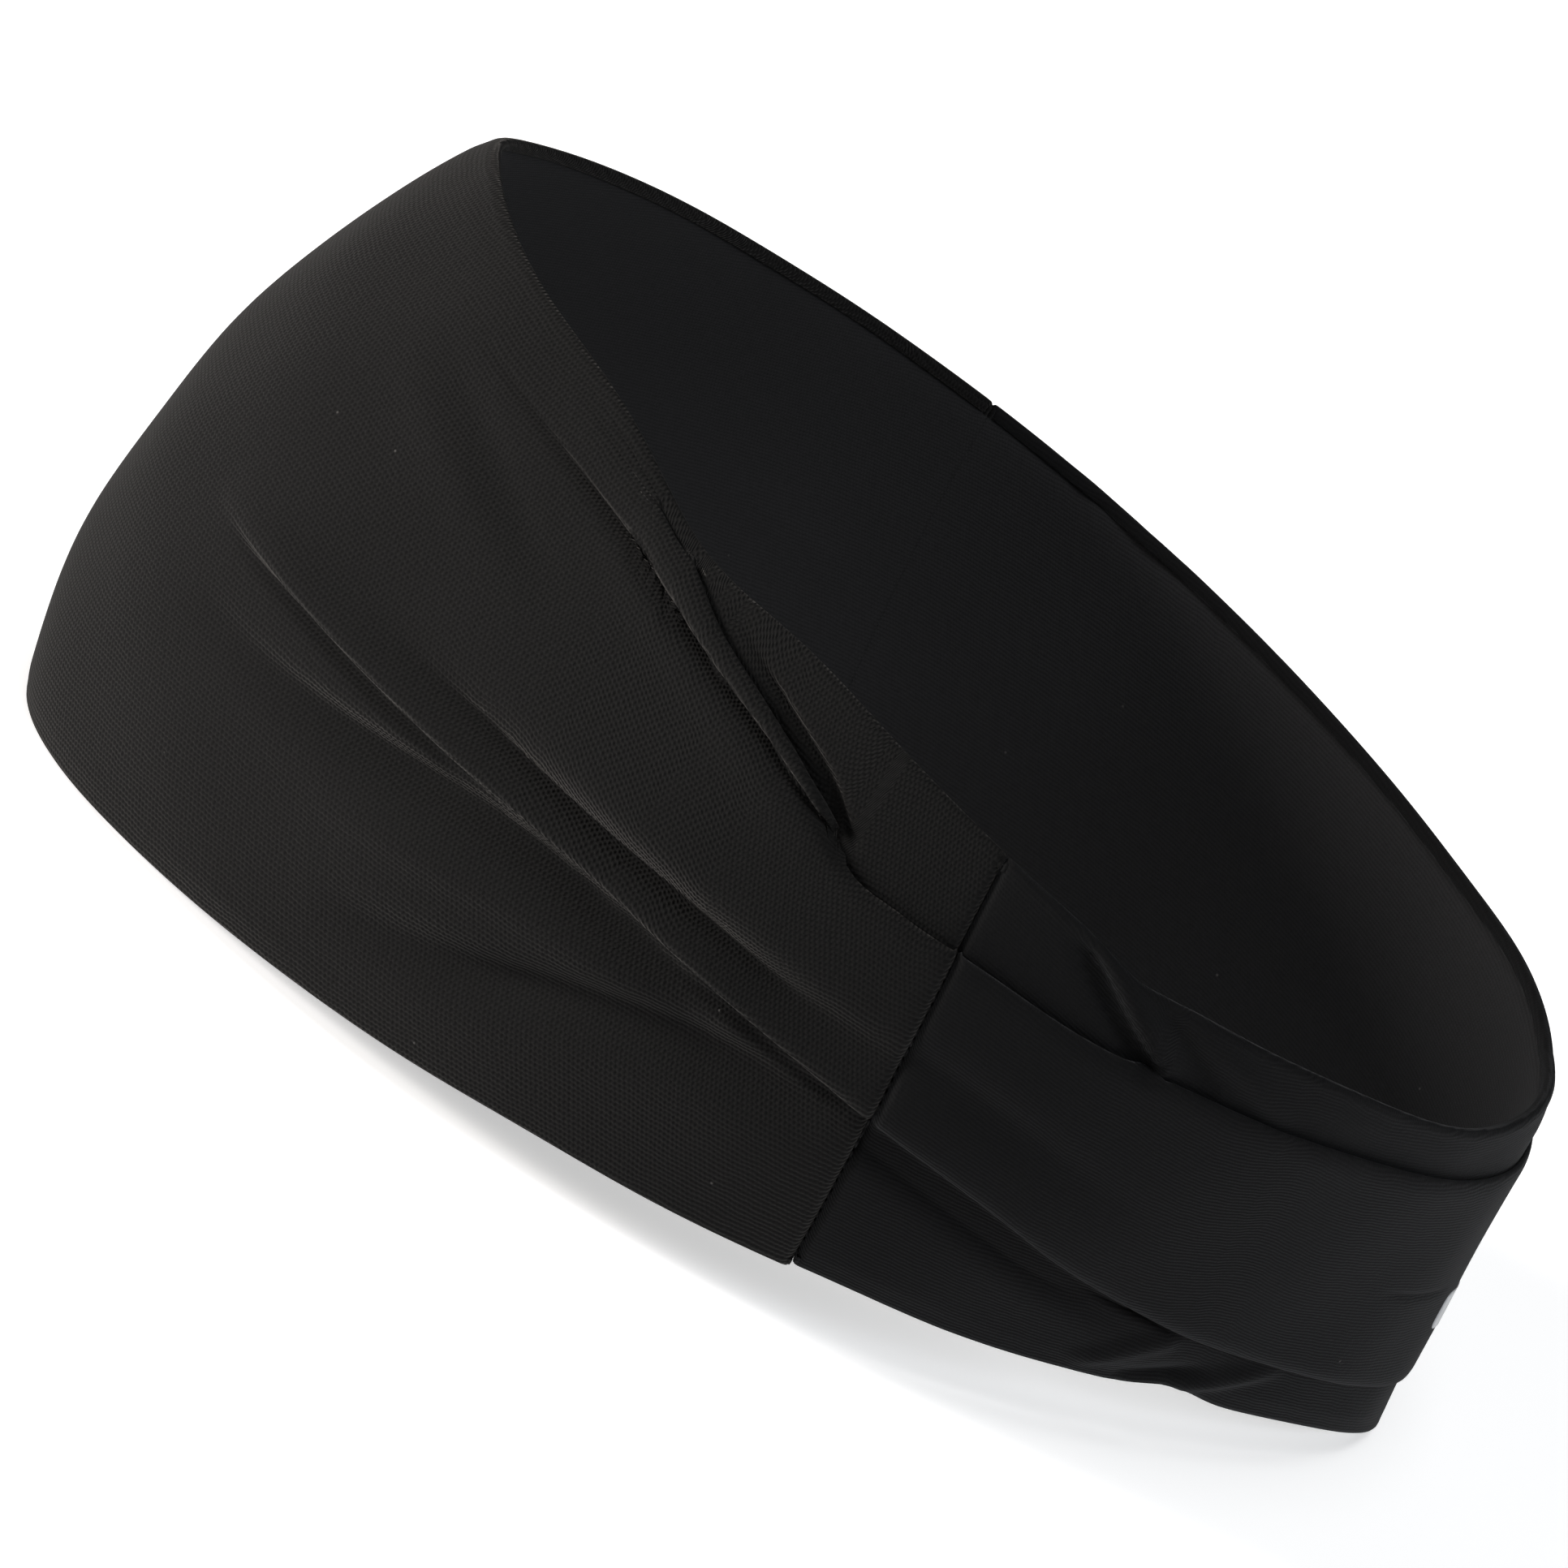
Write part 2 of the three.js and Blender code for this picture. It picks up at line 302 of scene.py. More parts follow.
FRONT_CREASES = (
    # the narrow crease under the ribbon at the top edge, and the ribbon's own roundness
    Crease(
        Edge.TOP, ((27, 8.9), (44, 8.5), (53, 8.6), (62, 9.7), (71, 10.6), (79, 13.4)),
        -2.6, 0.5, 0.55, 0.5, 0.06,
    ),
    Crease(Edge.TOP, ((30, 10.2), (50, 10.4), (64, 12.0), (78, 14.6)), 0.5, 1.0, 2.6, 0.5, 0.2),
    Crease(Edge.TOP, ((36, 5.2), (50, 5.6), (60, 7.2), (70, 9.0), (77, 11.4)), 0.7, 1.8, 1.4, 0.4, 0.2),
    # the pocket over the ribbon, widest where the ribbon ends
    Crease(
        Edge.TOP, ((60, 4.2), (65, 5.9), (70, 7.4), (74.5, 9.0), (77.8, 11.9)),
        -3.6, 0.75, 0.8, 0.9, 0.05,
    ),
    # soft ridges that fan out ahead of it
    Crease(Edge.TOP, ((24, 12.5), (38, 15.0), (52, 18.5)), -0.55, 2.0, 2.5, 0.5, 0.5),
    Crease(Edge.TOP, ((22, 17.5), (36, 19.5), (50, 22.5)), 0.45, 2.5, 3.0, 0.5, 0.5),
    # the shallow hollow along the middle of the pleat
    Crease(
        Edge.TOP, ((40, 38.0), (50, 35.0), (62, 32.7), (73, 30.4), (84, 28.7), (97, 25.5)),
        -2.5, 2.4, 4.4, 0.5, 0.3,
    ),
    Crease(Edge.TOP, ((43, 36.8), (50, 34.8), (62, 32.6), (73, 30.3), (83, 28.6)), -1.7, 0.6, 1.0, 0.5, 0.3),
    Crease(Edge.TOP, ((42, 31.0), (56, 28.5), (70, 25.5), (84, 22.5)), 0.5, 4.0, 3.5, 0.5, 0.4),
    # the ridge and the hollow that lead to the pleat's lower fold
    Crease(
        Edge.BOTTOM, ((19, 44.5), (30, 42.6), (42, 40.4), (54, 37.6), (66, 34.2)),
        1.5, 3.4, 1.4, 0.35, 0.35,
    ),
    Crease(
        Edge.BOTTOM, ((23, 42.2), (34, 40.4), (46, 37.8), (58, 35.0), (68, 31.6)),
        -1.9, 0.55, 1.1, 0.4, 0.2,
    ),
    Crease(
        Edge.BOTTOM, ((24, 33.0), (36, 32.0), (48, 32.6), (57, 33.2), (67, 31.4), (80, 26.0)),
        -3.0, 1.7, 3.8, 0.5, 0.2,
    ),
    Crease(
        Edge.BOTTOM, ((50, 12.0), (61, 15.0), (70, 20.0), (80, 23.0), (90, 21.5)),
        -2.6, 2.4, 4.4, 0.4, 0.3,
    ),
    Crease(Edge.BOTTOM, ((44, 22.0), (56, 24.0), (66, 25.6), (76, 26.0)), 0.6, 2.4, 2.2, 0.4, 0.3),
    Crease(Edge.BOTTOM, ((68, 32.2), (76, 29.4), (83, 26.6), (90, 23.8)), -1.8, 0.5, 0.9, 0.3, 0.2),
)

BACK_CREASES = (
    # the pocket and the ridges across the upper strip behind the seam
    Crease(Edge.TOP, ((96.5, 2.0), (100, 4.6), (104, 7.6), (107.5, 9.2)), -2.2, 1.2, 1.2, 0.25, 0.12),
    Crease(Edge.TOP, ((95.5, -0.4), (100, 2.2), (104.5, 5.2), (109, 8.8)), 1.1, 1.3, 1.2, 0.25, 0.15),
    Crease(Edge.TOP, ((103, 0.2), (107, 3.0), (113.5, 7.4)), -0.8, 1.2, 1.4, 0.3, 0.3),
    Crease(Edge.TOP, ((108, 0.2), (113, 2.8), (122, 6.8)), 0.7, 1.6, 1.6, 0.3, 0.3),
    # the hollow of the middle strip goes on past the seam
    Crease(Edge.TOP, ((86, 27.5), (95, 24.6), (104, 25.0), (116, 26.5)), -1.2, 2.6, 4.2, 0.2, 0.6),
    Crease(Edge.TOP, ((144, 25.8), (152, 26.2), (160, 26.4)), -0.3, 0.6, 0.9, 0.4, 0.4),
    # the gap under the pleat's lower fold, and creases in the lower strip
    Crease(
        Edge.BOTTOM, ((97, 20.9), (104, 17.9), (110, 14.8), (118, 11.9), (125, 9.9)),
        -2.6, 0.5, 0.9, 0.35, 0.3,
    ),
    Crease(
        Edge.BOTTOM, ((90, 22.4), (98, 19.0), (106, 15.0), (114, 11.4), (124, 8.4)),
        -2.4, 1.2, 2.6, 0.15, 0.5,
    ),
    Crease(Edge.BOTTOM, ((117, 0.6), (120, 4.6), (124.5, 9.4)), 0.8, 1.2, 1.6, 0.25, 0.2),
    Crease(Edge.BOTTOM, ((121.5, 0.8), (125.0, 3.0), (130.0, 5.6)), -1.0, 1.4, 1.1, 0.15, 0.4),
    Crease(Edge.BOTTOM, ((127.5, 1.2), (132, 4.6), (138.5, 8.6)), 0.9, 1.5, 1.2, 0.15, 0.4),
)


@dataclass(frozen=True)
class Cloth:
    """How the cloth lies on the wall: its pleat, its creases and its edges, in millimetres."""

    wall: Wall
    cut_height: float = 93.0
    middle: float = 0.35
    pitch: float = 0.95
    nape_press: float = 0.5
    slack: float = 0.16
    edge_relief: float = 0.3
    edge_fade: float = 3.5
    right_turn: float = 1.5
    right_depth: float = 0.45

    upper_line: Knots = (
        (0, 4.5), (46, 3.4), (56, 3.8), (62, 6.0), (68, 7.3), (73, 8.9), (75.5, 10.2), (78.5, 13.2),
        (84, 13.0), (90, 11.8), (100, 10.6), (109, 8.8), (122, 7.1), (138, 6.7), (152, 7.7), (180, 8.2),
    )
    lower_line: Knots = (
        (0, 44.5), (23, 43.3), (46, 39.4), (60, 36.2), (76, 30.6), (90, 24.8), (101, 20.2), (112, 14.6),
        (126, 10.6), (140, 9.4), (180, 9.4),
    )

    def upper_share(self, degrees: Array) -> Array:
        """How far the pleat's upper fold is closed: 0 flat cloth, 1 folded."""
        return smoothstep(degrees, 47.0, 58.0)

    def upper_rise(self, degrees: Array) -> Array:
        """How far the cloth under the upper fold has come up: it rises ahead of the fold itself."""
        return smoothstep(degrees, 36.0, 70.0)

    def lower_share(self, degrees: Array) -> Array:
        """How far the pleat's lower fold is closed: 0 flat cloth, 1 folded."""
        return smoothstep(degrees, 42.0, 78.0)

    def layers(self, degrees: Array) -> Array:
        """How far the pleat stands off the strips beside it: two layers, pressed flatter at the nape."""
        return 2 * self.pitch * (1.0 - self.nape_press * smoothstep(degrees, 135.0, 172.0))

    def overlap(self, degrees: Array, full: Array) -> Array:
        """How far each fold laps over: the cut height that the wall doesn't need, shared by four legs."""
        return (self.cut_height - full) / 4

    def top_wave(self, degrees: Array, left: Array) -> Array:
        """How far the top edge strays up from the wall's edge."""
        both = 1.2 * bell(degrees, 166, 13) - 1.1 * bell(degrees, 25, 15)
        near_folds = 1.5 * bell(degrees, 126, 14) - 2.7 * bell(degrees, 56, 9) - 1.2 * bell(degrees, 103, 4)
        return both + np.where(left, near_folds, 0.0)

    def bottom_wave(self, degrees: Array, left: Array) -> Array:
        """How far the bottom edge strays up from the wall's edge."""
        both = -0.6 * bell(degrees, 75, 45)
        near_folds = 0.6 * bell(degrees, 73, 9) - 0.5 * bell(degrees, 111, 8) + 1.5 * bell(degrees, 128, 4)
        return both + np.where(left, near_folds, 0.0)

    def relief(self, angle: Array, height: Array, creases: tuple[Crease, ...]) -> Array:
        """How far the creases and the cloth's own slack lift it at each place.

        Args:
            angle: Angles round the loop, in radians.
            height: Heights above the bottom edge.
            creases: The creases that reach it.

        Returns:
            The lift out of the wall.
        """
        full = self.wall.height(angle)
        left = np.sin(angle) > 0
        degrees = degrees_from_front(angle)
        shifted = degrees - np.where(left, 0.0, self.right_turn)
        lift = sum(crease.lift_at(shifted, height, full) for crease in creases)
        lift = lift * np.where(left, 1.0, self.right_depth)
        edge = np.minimum(height, full - height)
        held = self.edge_relief + (1.0 - self.edge_relief) * smoothstep(edge, 0.0, self.edge_fade)
        soft = np.sin(3 * angle + 0.11 * height + 0.7) + np.sin(7 * angle - 0.06 * height + 2.1)
        soft += 0.7 * np.sin(13 * angle + 0.21 * height + 4.0) + 0.5 * np.sin(19 * angle - 0.17 * height)
        return (lift + self.slack * soft) * held

    def place(self, angle: Array, height: Array, out: Array) -> Array:
        """Points of the cloth in the row frame, in metres."""
        return self.wall.points(angle, height / self.wall.height(angle), out) * MM


# ---- panels ---------------------------------------------------------------------------------------------


class Side(Enum):
    """A panel of the band, by where it sits on the head."""

    FRONT = "front"
    BACK = "back"


@dataclass(frozen=True)
class Seam:
    """The cross seam over each ear, where the two panels meet and turn in."""

    bottom_degrees: float = 93.8
    top_degrees: float = 88.0
    half_gap: float = 0.4
    turn_radius: float = 0.85
    turn_depth: float = 0.55
    turn_steps: int = 6
    mm_per_radian: float = 93.0

    def angle(self, share: Array) -> Array:
        """The seam's angle at a height share: it leans forward as it climbs."""
        return np.radians(self.bottom_degrees + (self.top_degrees - self.bottom_degrees) * share)

    def turned_end(self) -> list[tuple[float, float]]:
        """The turned-in end of a panel.

        Returns:
            Pairs of the distance from the seam and the drop into it, from the cloth's end outwards.
        """
        deepest = self.turn_radius + self.turn_depth
        end = [(self.half_gap, deepest), (self.half_gap, deepest - self.turn_depth / 2)]
        for step in range(self.turn_steps):
            turn = math.pi / 2 * step / self.turn_steps
            reach = self.half_gap + self.turn_radius * (1 - math.cos(turn))
            end.append((reach, self.turn_radius * (1 - math.sin(turn))))
        return end


@dataclass(frozen=True)
class Columns:
    """The columns of a panel: how far across it each is, and how it turns in at the seams."""

    side: Side
    way: Array
    setback: Array
    drop: Array
    seam: Seam

    @classmethod
    def across(cls, side: Side, seam: Seam, count: int) -> "Columns":
        """Even columns across a panel, with closer ones where its ends turn in.

        Args:
            side: The panel.
            seam: The seam at both its ends.
            count: How many even steps there are between the turned ends.

        Returns:
            The columns.
        """
        end = seam.turned_end()
        edge = seam.half_gap + seam.turn_radius
        near = np.array([[-1.0, reach, drop] for reach, drop in end])
        even = np.array([[way, edge, 0.0] for way in np.linspace(-1.0, 1.0, count + 1)])
        far = near[::-1] * [-1.0, 1.0, 1.0]
        rows = np.concatenate([near, even, far])
        return cls(side, rows[:, 0], rows[:, 1], rows[:, 2], seam)

    def angle(self, share: Array) -> Array:
        """The angle of each column at each height share.

        Args:
            share: Shares with a row for each column.

        Returns:
            Angles round the loop, in radians.
        """
        inset = (self.setback / self.seam.mm_per_radian)[:, None]
        if self.side is Side.FRONT:
            return self.way[:, None] * (self.seam.angle(share) - inset)
        return math.pi + self.way[:, None] * (math.pi - self.seam.angle(share) - inset)


@dataclass(frozen=True)
class Rim:
    """The cloth turned over at an edge, in millimetres."""

    radius: float = 0.8
    outer: float = 0.2
    inner: float = -1.05
    leg: float = 0.5
    settle: float = 2.5
    turns: int = 8

    def rows(self) -> tuple[Array, Array]:
        """Depths below the edge and distances out, from the inner leg round to the outer face."""
        round_turn = np.linspace(math.pi, 0.0, self.turns + 1)
        depth = self.radius * (1 - np.sin(round_turn))
        centre = (self.outer + self.inner) / 2
        out = centre + (self.outer - self.inner) / 2 * np.cos(round_turn)
        depth = np.concatenate([[self.radius + self.leg, self.radius + self.leg / 2], depth])
        return depth, np.concatenate([[self.inner, self.inner], out])


@dataclass
class Panel:
    """A half of the band: a knitted shell folded in a box pleat, and the smooth lining inside it."""

    side: Side
    cloth: Cloth
    seam: Seam
    creases: tuple[Crease, ...]
    shell_finish: "KnitFinish"
    lining_finish: "KnitFinish"
    rim: Rim = field(default_factory=Rim)
    shell_columns: int = 186
    lining_columns: int = 120
    lining_rows: int = 46
    shell_ply: float = 0.55
    lining_ply: float = 0.4
    lining_out: float = -1.3
    lining_tuck: float = 0.45
    lining_edge: float = 1.1
    lining_room: float = 1.0
    lining_follow: float = 0.3
    lining_plain: float = 0.12
    lining_crowding: float = 0.045
    tuck_reach: float = 1.6
    pinch: float = 0.25
    pinch_reach: float = 4.0
    clearance: float = 0.5
    lining_flat: float = 0.077
    lining_seam: Seam = field(default_factory=lambda: Seam(half_gap=0.02, turn_radius=0.1, turn_depth=0.05))
    strip_rows: int = 16
    middle_rows: int = 64
    lower_rows: int = 44
    crowding: float = 1.4
    fold_half: float = 0.08
    upper_open: tuple[float, float] = (2.5, 3.75)
    upper_lead: float = 1.2
    lower_open: tuple[float, float] = (4.0, 6.0)
    lower_lead: float = 1.5
    upper_share: float = 0.84
    lower_share: float = 0.4
    rim_room: float = 0.5
    lead_room: float = 0.1
    lead_per_lap: float = 1.5
    seam_step: float = 0.0
    seam_reach: float = 0.85
    flat_length: float = 0.262

    def fold_ways(self) -> Array:
        """Shares of the way through a fold, closest together where the cloth turns and where it shows."""
        first, second = 0.25, 0.75
        half = self.fold_half
        stops = (
            (0.0, 0), (first - half, 5), (first + half, 6),
            (second - half, 5), (second + half, 8), (1.0, 10),
        )
        ways = [np.array([0.0])]
        for (start, _), (end, steps) in zip(stops, stops[1:]):
            ways.append(np.linspace(start, end, steps + 1)[1:])
        return np.concatenate(ways)

    def fold(self, ridge: Array, lap: Array, lead: Array, lift: Array) -> tuple[Array, Array]:
        """An S fold, from the strip under it up to the strip on top.

        Args:
            ridge: How far down the cloth the visible fold is, for each column.
            lap: How far it laps over the strip under it; below zero the cloth is flat.
            lead: How far above the visible fold it starts.
            lift: How far out the strip on top lies.

        Returns:
            Distances down and distances out, a row for each column.
        """
        ways = self.fold_ways()[None, :]
        length = (lap + 2 * lead)[:, None]
        swing = 0.75 - lead[:, None] / length
        down = (ridge - lead)[:, None] + length * (ways + swing * np.sin(2 * math.pi * ways))
        first = smoothstep(ways, 0.25 - self.fold_half, 0.25 + self.fold_half)
        second = smoothstep(ways, 0.75 - self.fold_half, 0.75 + self.fold_half)
        return down, lift[:, None] / 2 * (first + second)

    def shell_section(self, columns: Columns) -> tuple[Array, Array]:
        """The shell's section at every column, from the bottom edge's inner leg to the top edge's.

        Args:
            columns: The columns.

        Returns:
            Heights above the bottom edge and distances out, a row for each column.
        """
        cloth = self.cloth

        def angles(share: float) -> Array:
            """The columns' angles at one height share."""
            return columns.angle(np.full((len(columns.way), 1), share))[:, 0]

        middle = angles(0.5)
        full = cloth.wall.height(middle)
        left = np.sin(middle) > 0
        upper = degrees_from_front(angles(self.upper_share)) - np.where(left, 0.0, cloth.right_turn)
        lower = degrees_from_front(angles(self.lower_share)) - np.where(left, 0.0, cloth.right_turn)
        top = full + cloth.top_wave(degrees_from_front(angles(1.0)), left)
        bottom = cloth.bottom_wave(degrees_from_front(angles(0.0)), left)
        bottom = bottom + self.seam_lift(columns.way)

        closed = cloth.upper_share(upper)
        gap, slope = self.upper_open
        lap = -gap + (cloth.overlap(upper, full) + gap) * closed
        lead = slope + (self.upper_lead - slope) * closed
        rim_end = top - self.rim.radius
        ridge = np.minimum(full - smooth_curve(upper, cloth.upper_line), rim_end - self.rim_room)
        lead = np.minimum(lead, rim_end - ridge - self.lead_room)
        lap = np.maximum(lap, -lead / self.lead_per_lap)
        down, upper_out = self.fold(-ridge, lap, lead, cloth.layers(upper) * cloth.upper_rise(upper))
        upper_fold = -down

        folded = cloth.lower_share(lower)
        gap, slope = self.lower_open
        lap = -gap + (cloth.overlap(lower, full) + gap) * folded
        lead = slope + (self.lower_lead - slope) * folded
        valley = smooth_curve(lower, cloth.lower_line)
        up, lower_out = self.fold(valley, lap, lead, cloth.layers(lower) * folded)
        lower_fold = up[:, ::-1]
        lower_out = lower_out[:, ::-1]

        depth, rim_out = self.rim.rows()
        top_rim = top[:, None] - depth[None, :]
        bottom_rim = (bottom[:, None] + depth[None, :])[:, ::-1]
        rim_out = np.broadcast_to(rim_out, top_rim.shape)

        def between(start: Array, end: Array, count: int, crowding: float = 1.0) -> Array:
            """Rows strictly between two columns of values, closer together at the start if crowded."""
            ways = np.linspace(0.0, 1.0, count + 2)[1:-1][None, :] ** crowding
            return start[:, None] * (1 - ways) + end[:, None] * ways

        strip = between(top_rim[:, -1], upper_fold[:, 0], self.strip_rows)
        middle_strip = between(upper_fold[:, -1], lower_fold[:, 0], self.middle_rows, self.crowding)
        low_strip = between(lower_fold[:, -1], bottom_rim[:, 0], self.lower_rows)
        flat = cloth.middle
        heights = [top_rim, strip, upper_fold, middle_strip, lower_fold, low_strip, bottom_rim]
        outs = [
            rim_out,
            self.settled(strip, top, bottom),
            self.settled(upper_fold, top, bottom) + upper_out,
            flat + between(upper_out[:, -1], lower_out[:, 0], self.middle_rows, self.crowding),
            self.settled(lower_fold, top, bottom) + lower_out,
            self.settled(low_strip, top, bottom),
            rim_out[:, ::-1],
        ]
        return np.concatenate(heights, 1)[:, ::-1], np.concatenate(outs, 1)[:, ::-1]

    def seam_lift(self, way: Array) -> Array:
        """How far the bottom edge steps up towards the seams."""
        return self.seam_step * smoothstep(np.abs(way), self.seam_reach, 1.0)

    def settled(self, height: Array, top: Array, bottom: Array) -> Array:
        """How far out flat cloth lies as it comes away from a pinched edge."""
        away = np.minimum(top[:, None] - height, height - bottom[:, None])
        share = smoothstep(away, self.rim.radius, self.rim.radius + self.rim.settle)
        return self.rim.outer + (self.cloth.middle - self.rim.outer) * share

    def sheet(self, name: str, columns: Columns, height: Array, out: Array) -> bpy.types.Object:
        """A sheet of cloth through a grid of places.

        Args:
            name: The piece's name.
            columns: The grid's columns.
            height: Heights above the bottom edge, a row for each column.
            out: Distances out, the same shape.

        Returns:
            The piece, with its cloth coordinates in the UV map called cloth.
        """
        full = self.cloth.wall.height(columns.angle(np.full((len(height), 1), 0.5)))
        angle = columns.angle(height / full)
        true_height = height / full * self.cloth.wall.height(angle)
        points = self.cloth.place(angle, true_height, out)
        cross = np.linalg.norm(np.diff(points, axis=1), axis=2)
        across = np.concatenate([np.zeros((len(height), 1)), np.cumsum(cross, 1)], 1)
        mid = points[:, points.shape[1] // 2]
        steps = np.linalg.norm(np.diff(mid, axis=0), axis=1)
        along = np.concatenate([[0.0], np.cumsum(steps)])

        column_steps, row_steps = height.shape[0] - 1, height.shape[1] - 1
        mesh = bmesh.new()
        uv = mesh.loops.layers.uv.new("cloth")
        bmesh.ops.create_grid(mesh, x_segments=column_steps, y_segments=row_steps, size=0.5)
        at = {}
        for vertex in mesh.verts:
            column = round((vertex.co.x + 0.5) * column_steps)
            row = round((vertex.co.y + 0.5) * row_steps)
            at[vertex.index] = (column, row)
            vertex.co = points[column, row]
        for face in mesh.faces:
            face.smooth = True
            for loop in face.loops:
                column, row = at[loop.vert.index]
                loop[uv].uv = (along[column] / CLOTH_UNIT, across[column, row] / CLOTH_UNIT)
        return finished(name, mesh)

    def lining_depth(self, columns: Columns, angle: Array, height: Array) -> Array:
        """How far out of the wall the lining lies.

        It follows the broad creases a little, none of the narrow ones, and lies plain at the seams.

        Args:
            columns: The columns of the sheet, one for each row of the arrays.
            angle: Angles round the loop, in radians.
            height: Heights above the bottom edge.

        Returns:
            The distance out of the wall, below zero inside it.
        """
        broad = tuple(crease for crease in self.creases if crease.broad)
        relief = self.cloth.relief(angle, height, broad)
        pushed = np.minimum(relief + self.lining_room, 0.0)
        relief = self.lining_follow * np.maximum(relief, -self.lining_room) + pushed
        plain = smoothstep(1.0 - np.abs(columns.way), 0.0, self.lining_plain)[:, None]
        return self.lining_out + relief * plain

    def build_shell(self) -> bpy.types.Object:
        """The knitted outer cloth."""
        columns = Columns.across(self.side, self.seam, self.shell_columns)
        height, out = self.shell_section(columns)
        full = self.cloth.wall.height(columns.angle(np.full((len(height), 1), 0.5)))
        angle = columns.angle(height / full)
        relief = self.cloth.relief(angle, height, self.creases)
        centre = (self.rim.outer + self.rim.inner) / 2
        outerness = np.clip((out - centre) / (self.rim.outer - centre), -1.0, 1.0)
        lifted = out + relief
        clear = self.lining_depth(columns, angle, height) + self.clearance
        lifted = np.where(outerness >= 1.0, np.maximum(lifted, clear), lifted)
        out = lifted - columns.drop[:, None] * outerness
        piece = self.sheet(f"{self.side.value}_shell_knit", columns, height, out)
        thicken(piece, self.shell_ply)
        self.shell_finish.dress(piece)
        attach(piece, BODY)
        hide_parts(f"{self.side.value}_shell")
        return piece

    def build_lining(self) -> bpy.types.Object:
        """The smooth cloth inside, tucked behind the shell's turned edges."""
        columns = Columns.across(self.side, self.lining_seam, self.lining_columns)
        ways = np.linspace(0.0, 1.0, self.lining_rows + 1)
        ways = ways - self.lining_crowding * np.sin(2 * math.pi * ways)
        middle = columns.angle(np.full((len(columns.way), 1), 0.5))
        full = self.cloth.wall.height(middle)
        left = np.sin(middle) > 0
        degrees = degrees_from_front(middle)
        top = full + self.cloth.top_wave(degrees, left) - self.lining_edge
        bottom = self.cloth.bottom_wave(degrees, left) + self.lining_edge
        bottom = bottom + self.seam_lift(columns.way)[:, None]
        height = bottom + (top - bottom) * ways[None, :]
        angle = columns.angle(height / full)
        edge = np.minimum(height - bottom, top - height)
        tuck = 1.0 - smoothstep(edge, 0.0, self.tuck_reach)
        pinch = self.pinch * (1.0 - smoothstep(edge, 0.0, self.pinch_reach))
        out = self.lining_depth(columns, angle, height) + self.lining_tuck * tuck + pinch
        piece = self.sheet(f"{self.side.value}_lining_knit", columns, height, out)
        thicken(piece, self.lining_ply)
        self.lining_finish.dress(piece)
        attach(piece, BODY)
        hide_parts(f"{self.side.value}_lining")
        return piece

    def build(self) -> None:
        """Builds the panel's pieces and logs their face counts."""
        lining = self.build_lining()
        shell = self.build_shell()
        for piece in (lining, shell):
            log.info("%s: %d faces before its ply", piece.name, len(piece.data.polygons))


# ---- threads and the mark -------------------------------------------------------------------------------


@dataclass
class SeamStitching:
    """The row of stitches down a cross seam, in the ditch where the panels turn in."""

    cloth: Cloth
    seam: Seam
    panel: Panel
    finish: "ThreadFinish"
    pitch: float = 1.6
    length: float = 1.25
    diameter: float = 0.42
    sunk: float = 0.95
    margin: float = 1.6

    def build(self, name: str, left: bool) -> bpy.types.Object:
        """A seam's stitches as one piece.

        Args:
            name: The CAD node that it stands for.
            left: Whether it is the wearer's left seam.

        Returns:
            The piece.
        """
        side = 1.0 if left else -1.0
        full = float(self.cloth.wall.height(self.seam.angle(np.array(0.5))))
        turn = 0.0 if left else self.cloth.right_turn
        upper = full - float(smooth_curve(88.8 - turn, self.cloth.upper_line))
        lower = float(smooth_curve(91.4 - turn, self.cloth.lower_line))
        heights = np.arange(self.margin, full - self.margin, self.pitch)
        lifted = (heights > lower) & (heights < upper)
        share = heights / full
        angle = side * self.seam.angle(share)
        relief = self.cloth.relief(angle, heights, self.panel.creases)
        out = self.cloth.middle + self.cloth.layers(np.full_like(share, 90.0)) * lifted + relief - self.sunk
        places = self.cloth.place(angle, heights, out)
        ahead = self.cloth.place(side * self.seam.angle(share + 0.01), heights + 0.01 * full, out)
        piece = stitches(f"{name}_stitches", places, ahead, self.length, self.diameter)
        self.finish.dress(piece)
        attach(piece, BODY)
        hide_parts(name)
        log.info("%s: %d stitches", piece.name, len(places))
        return piece


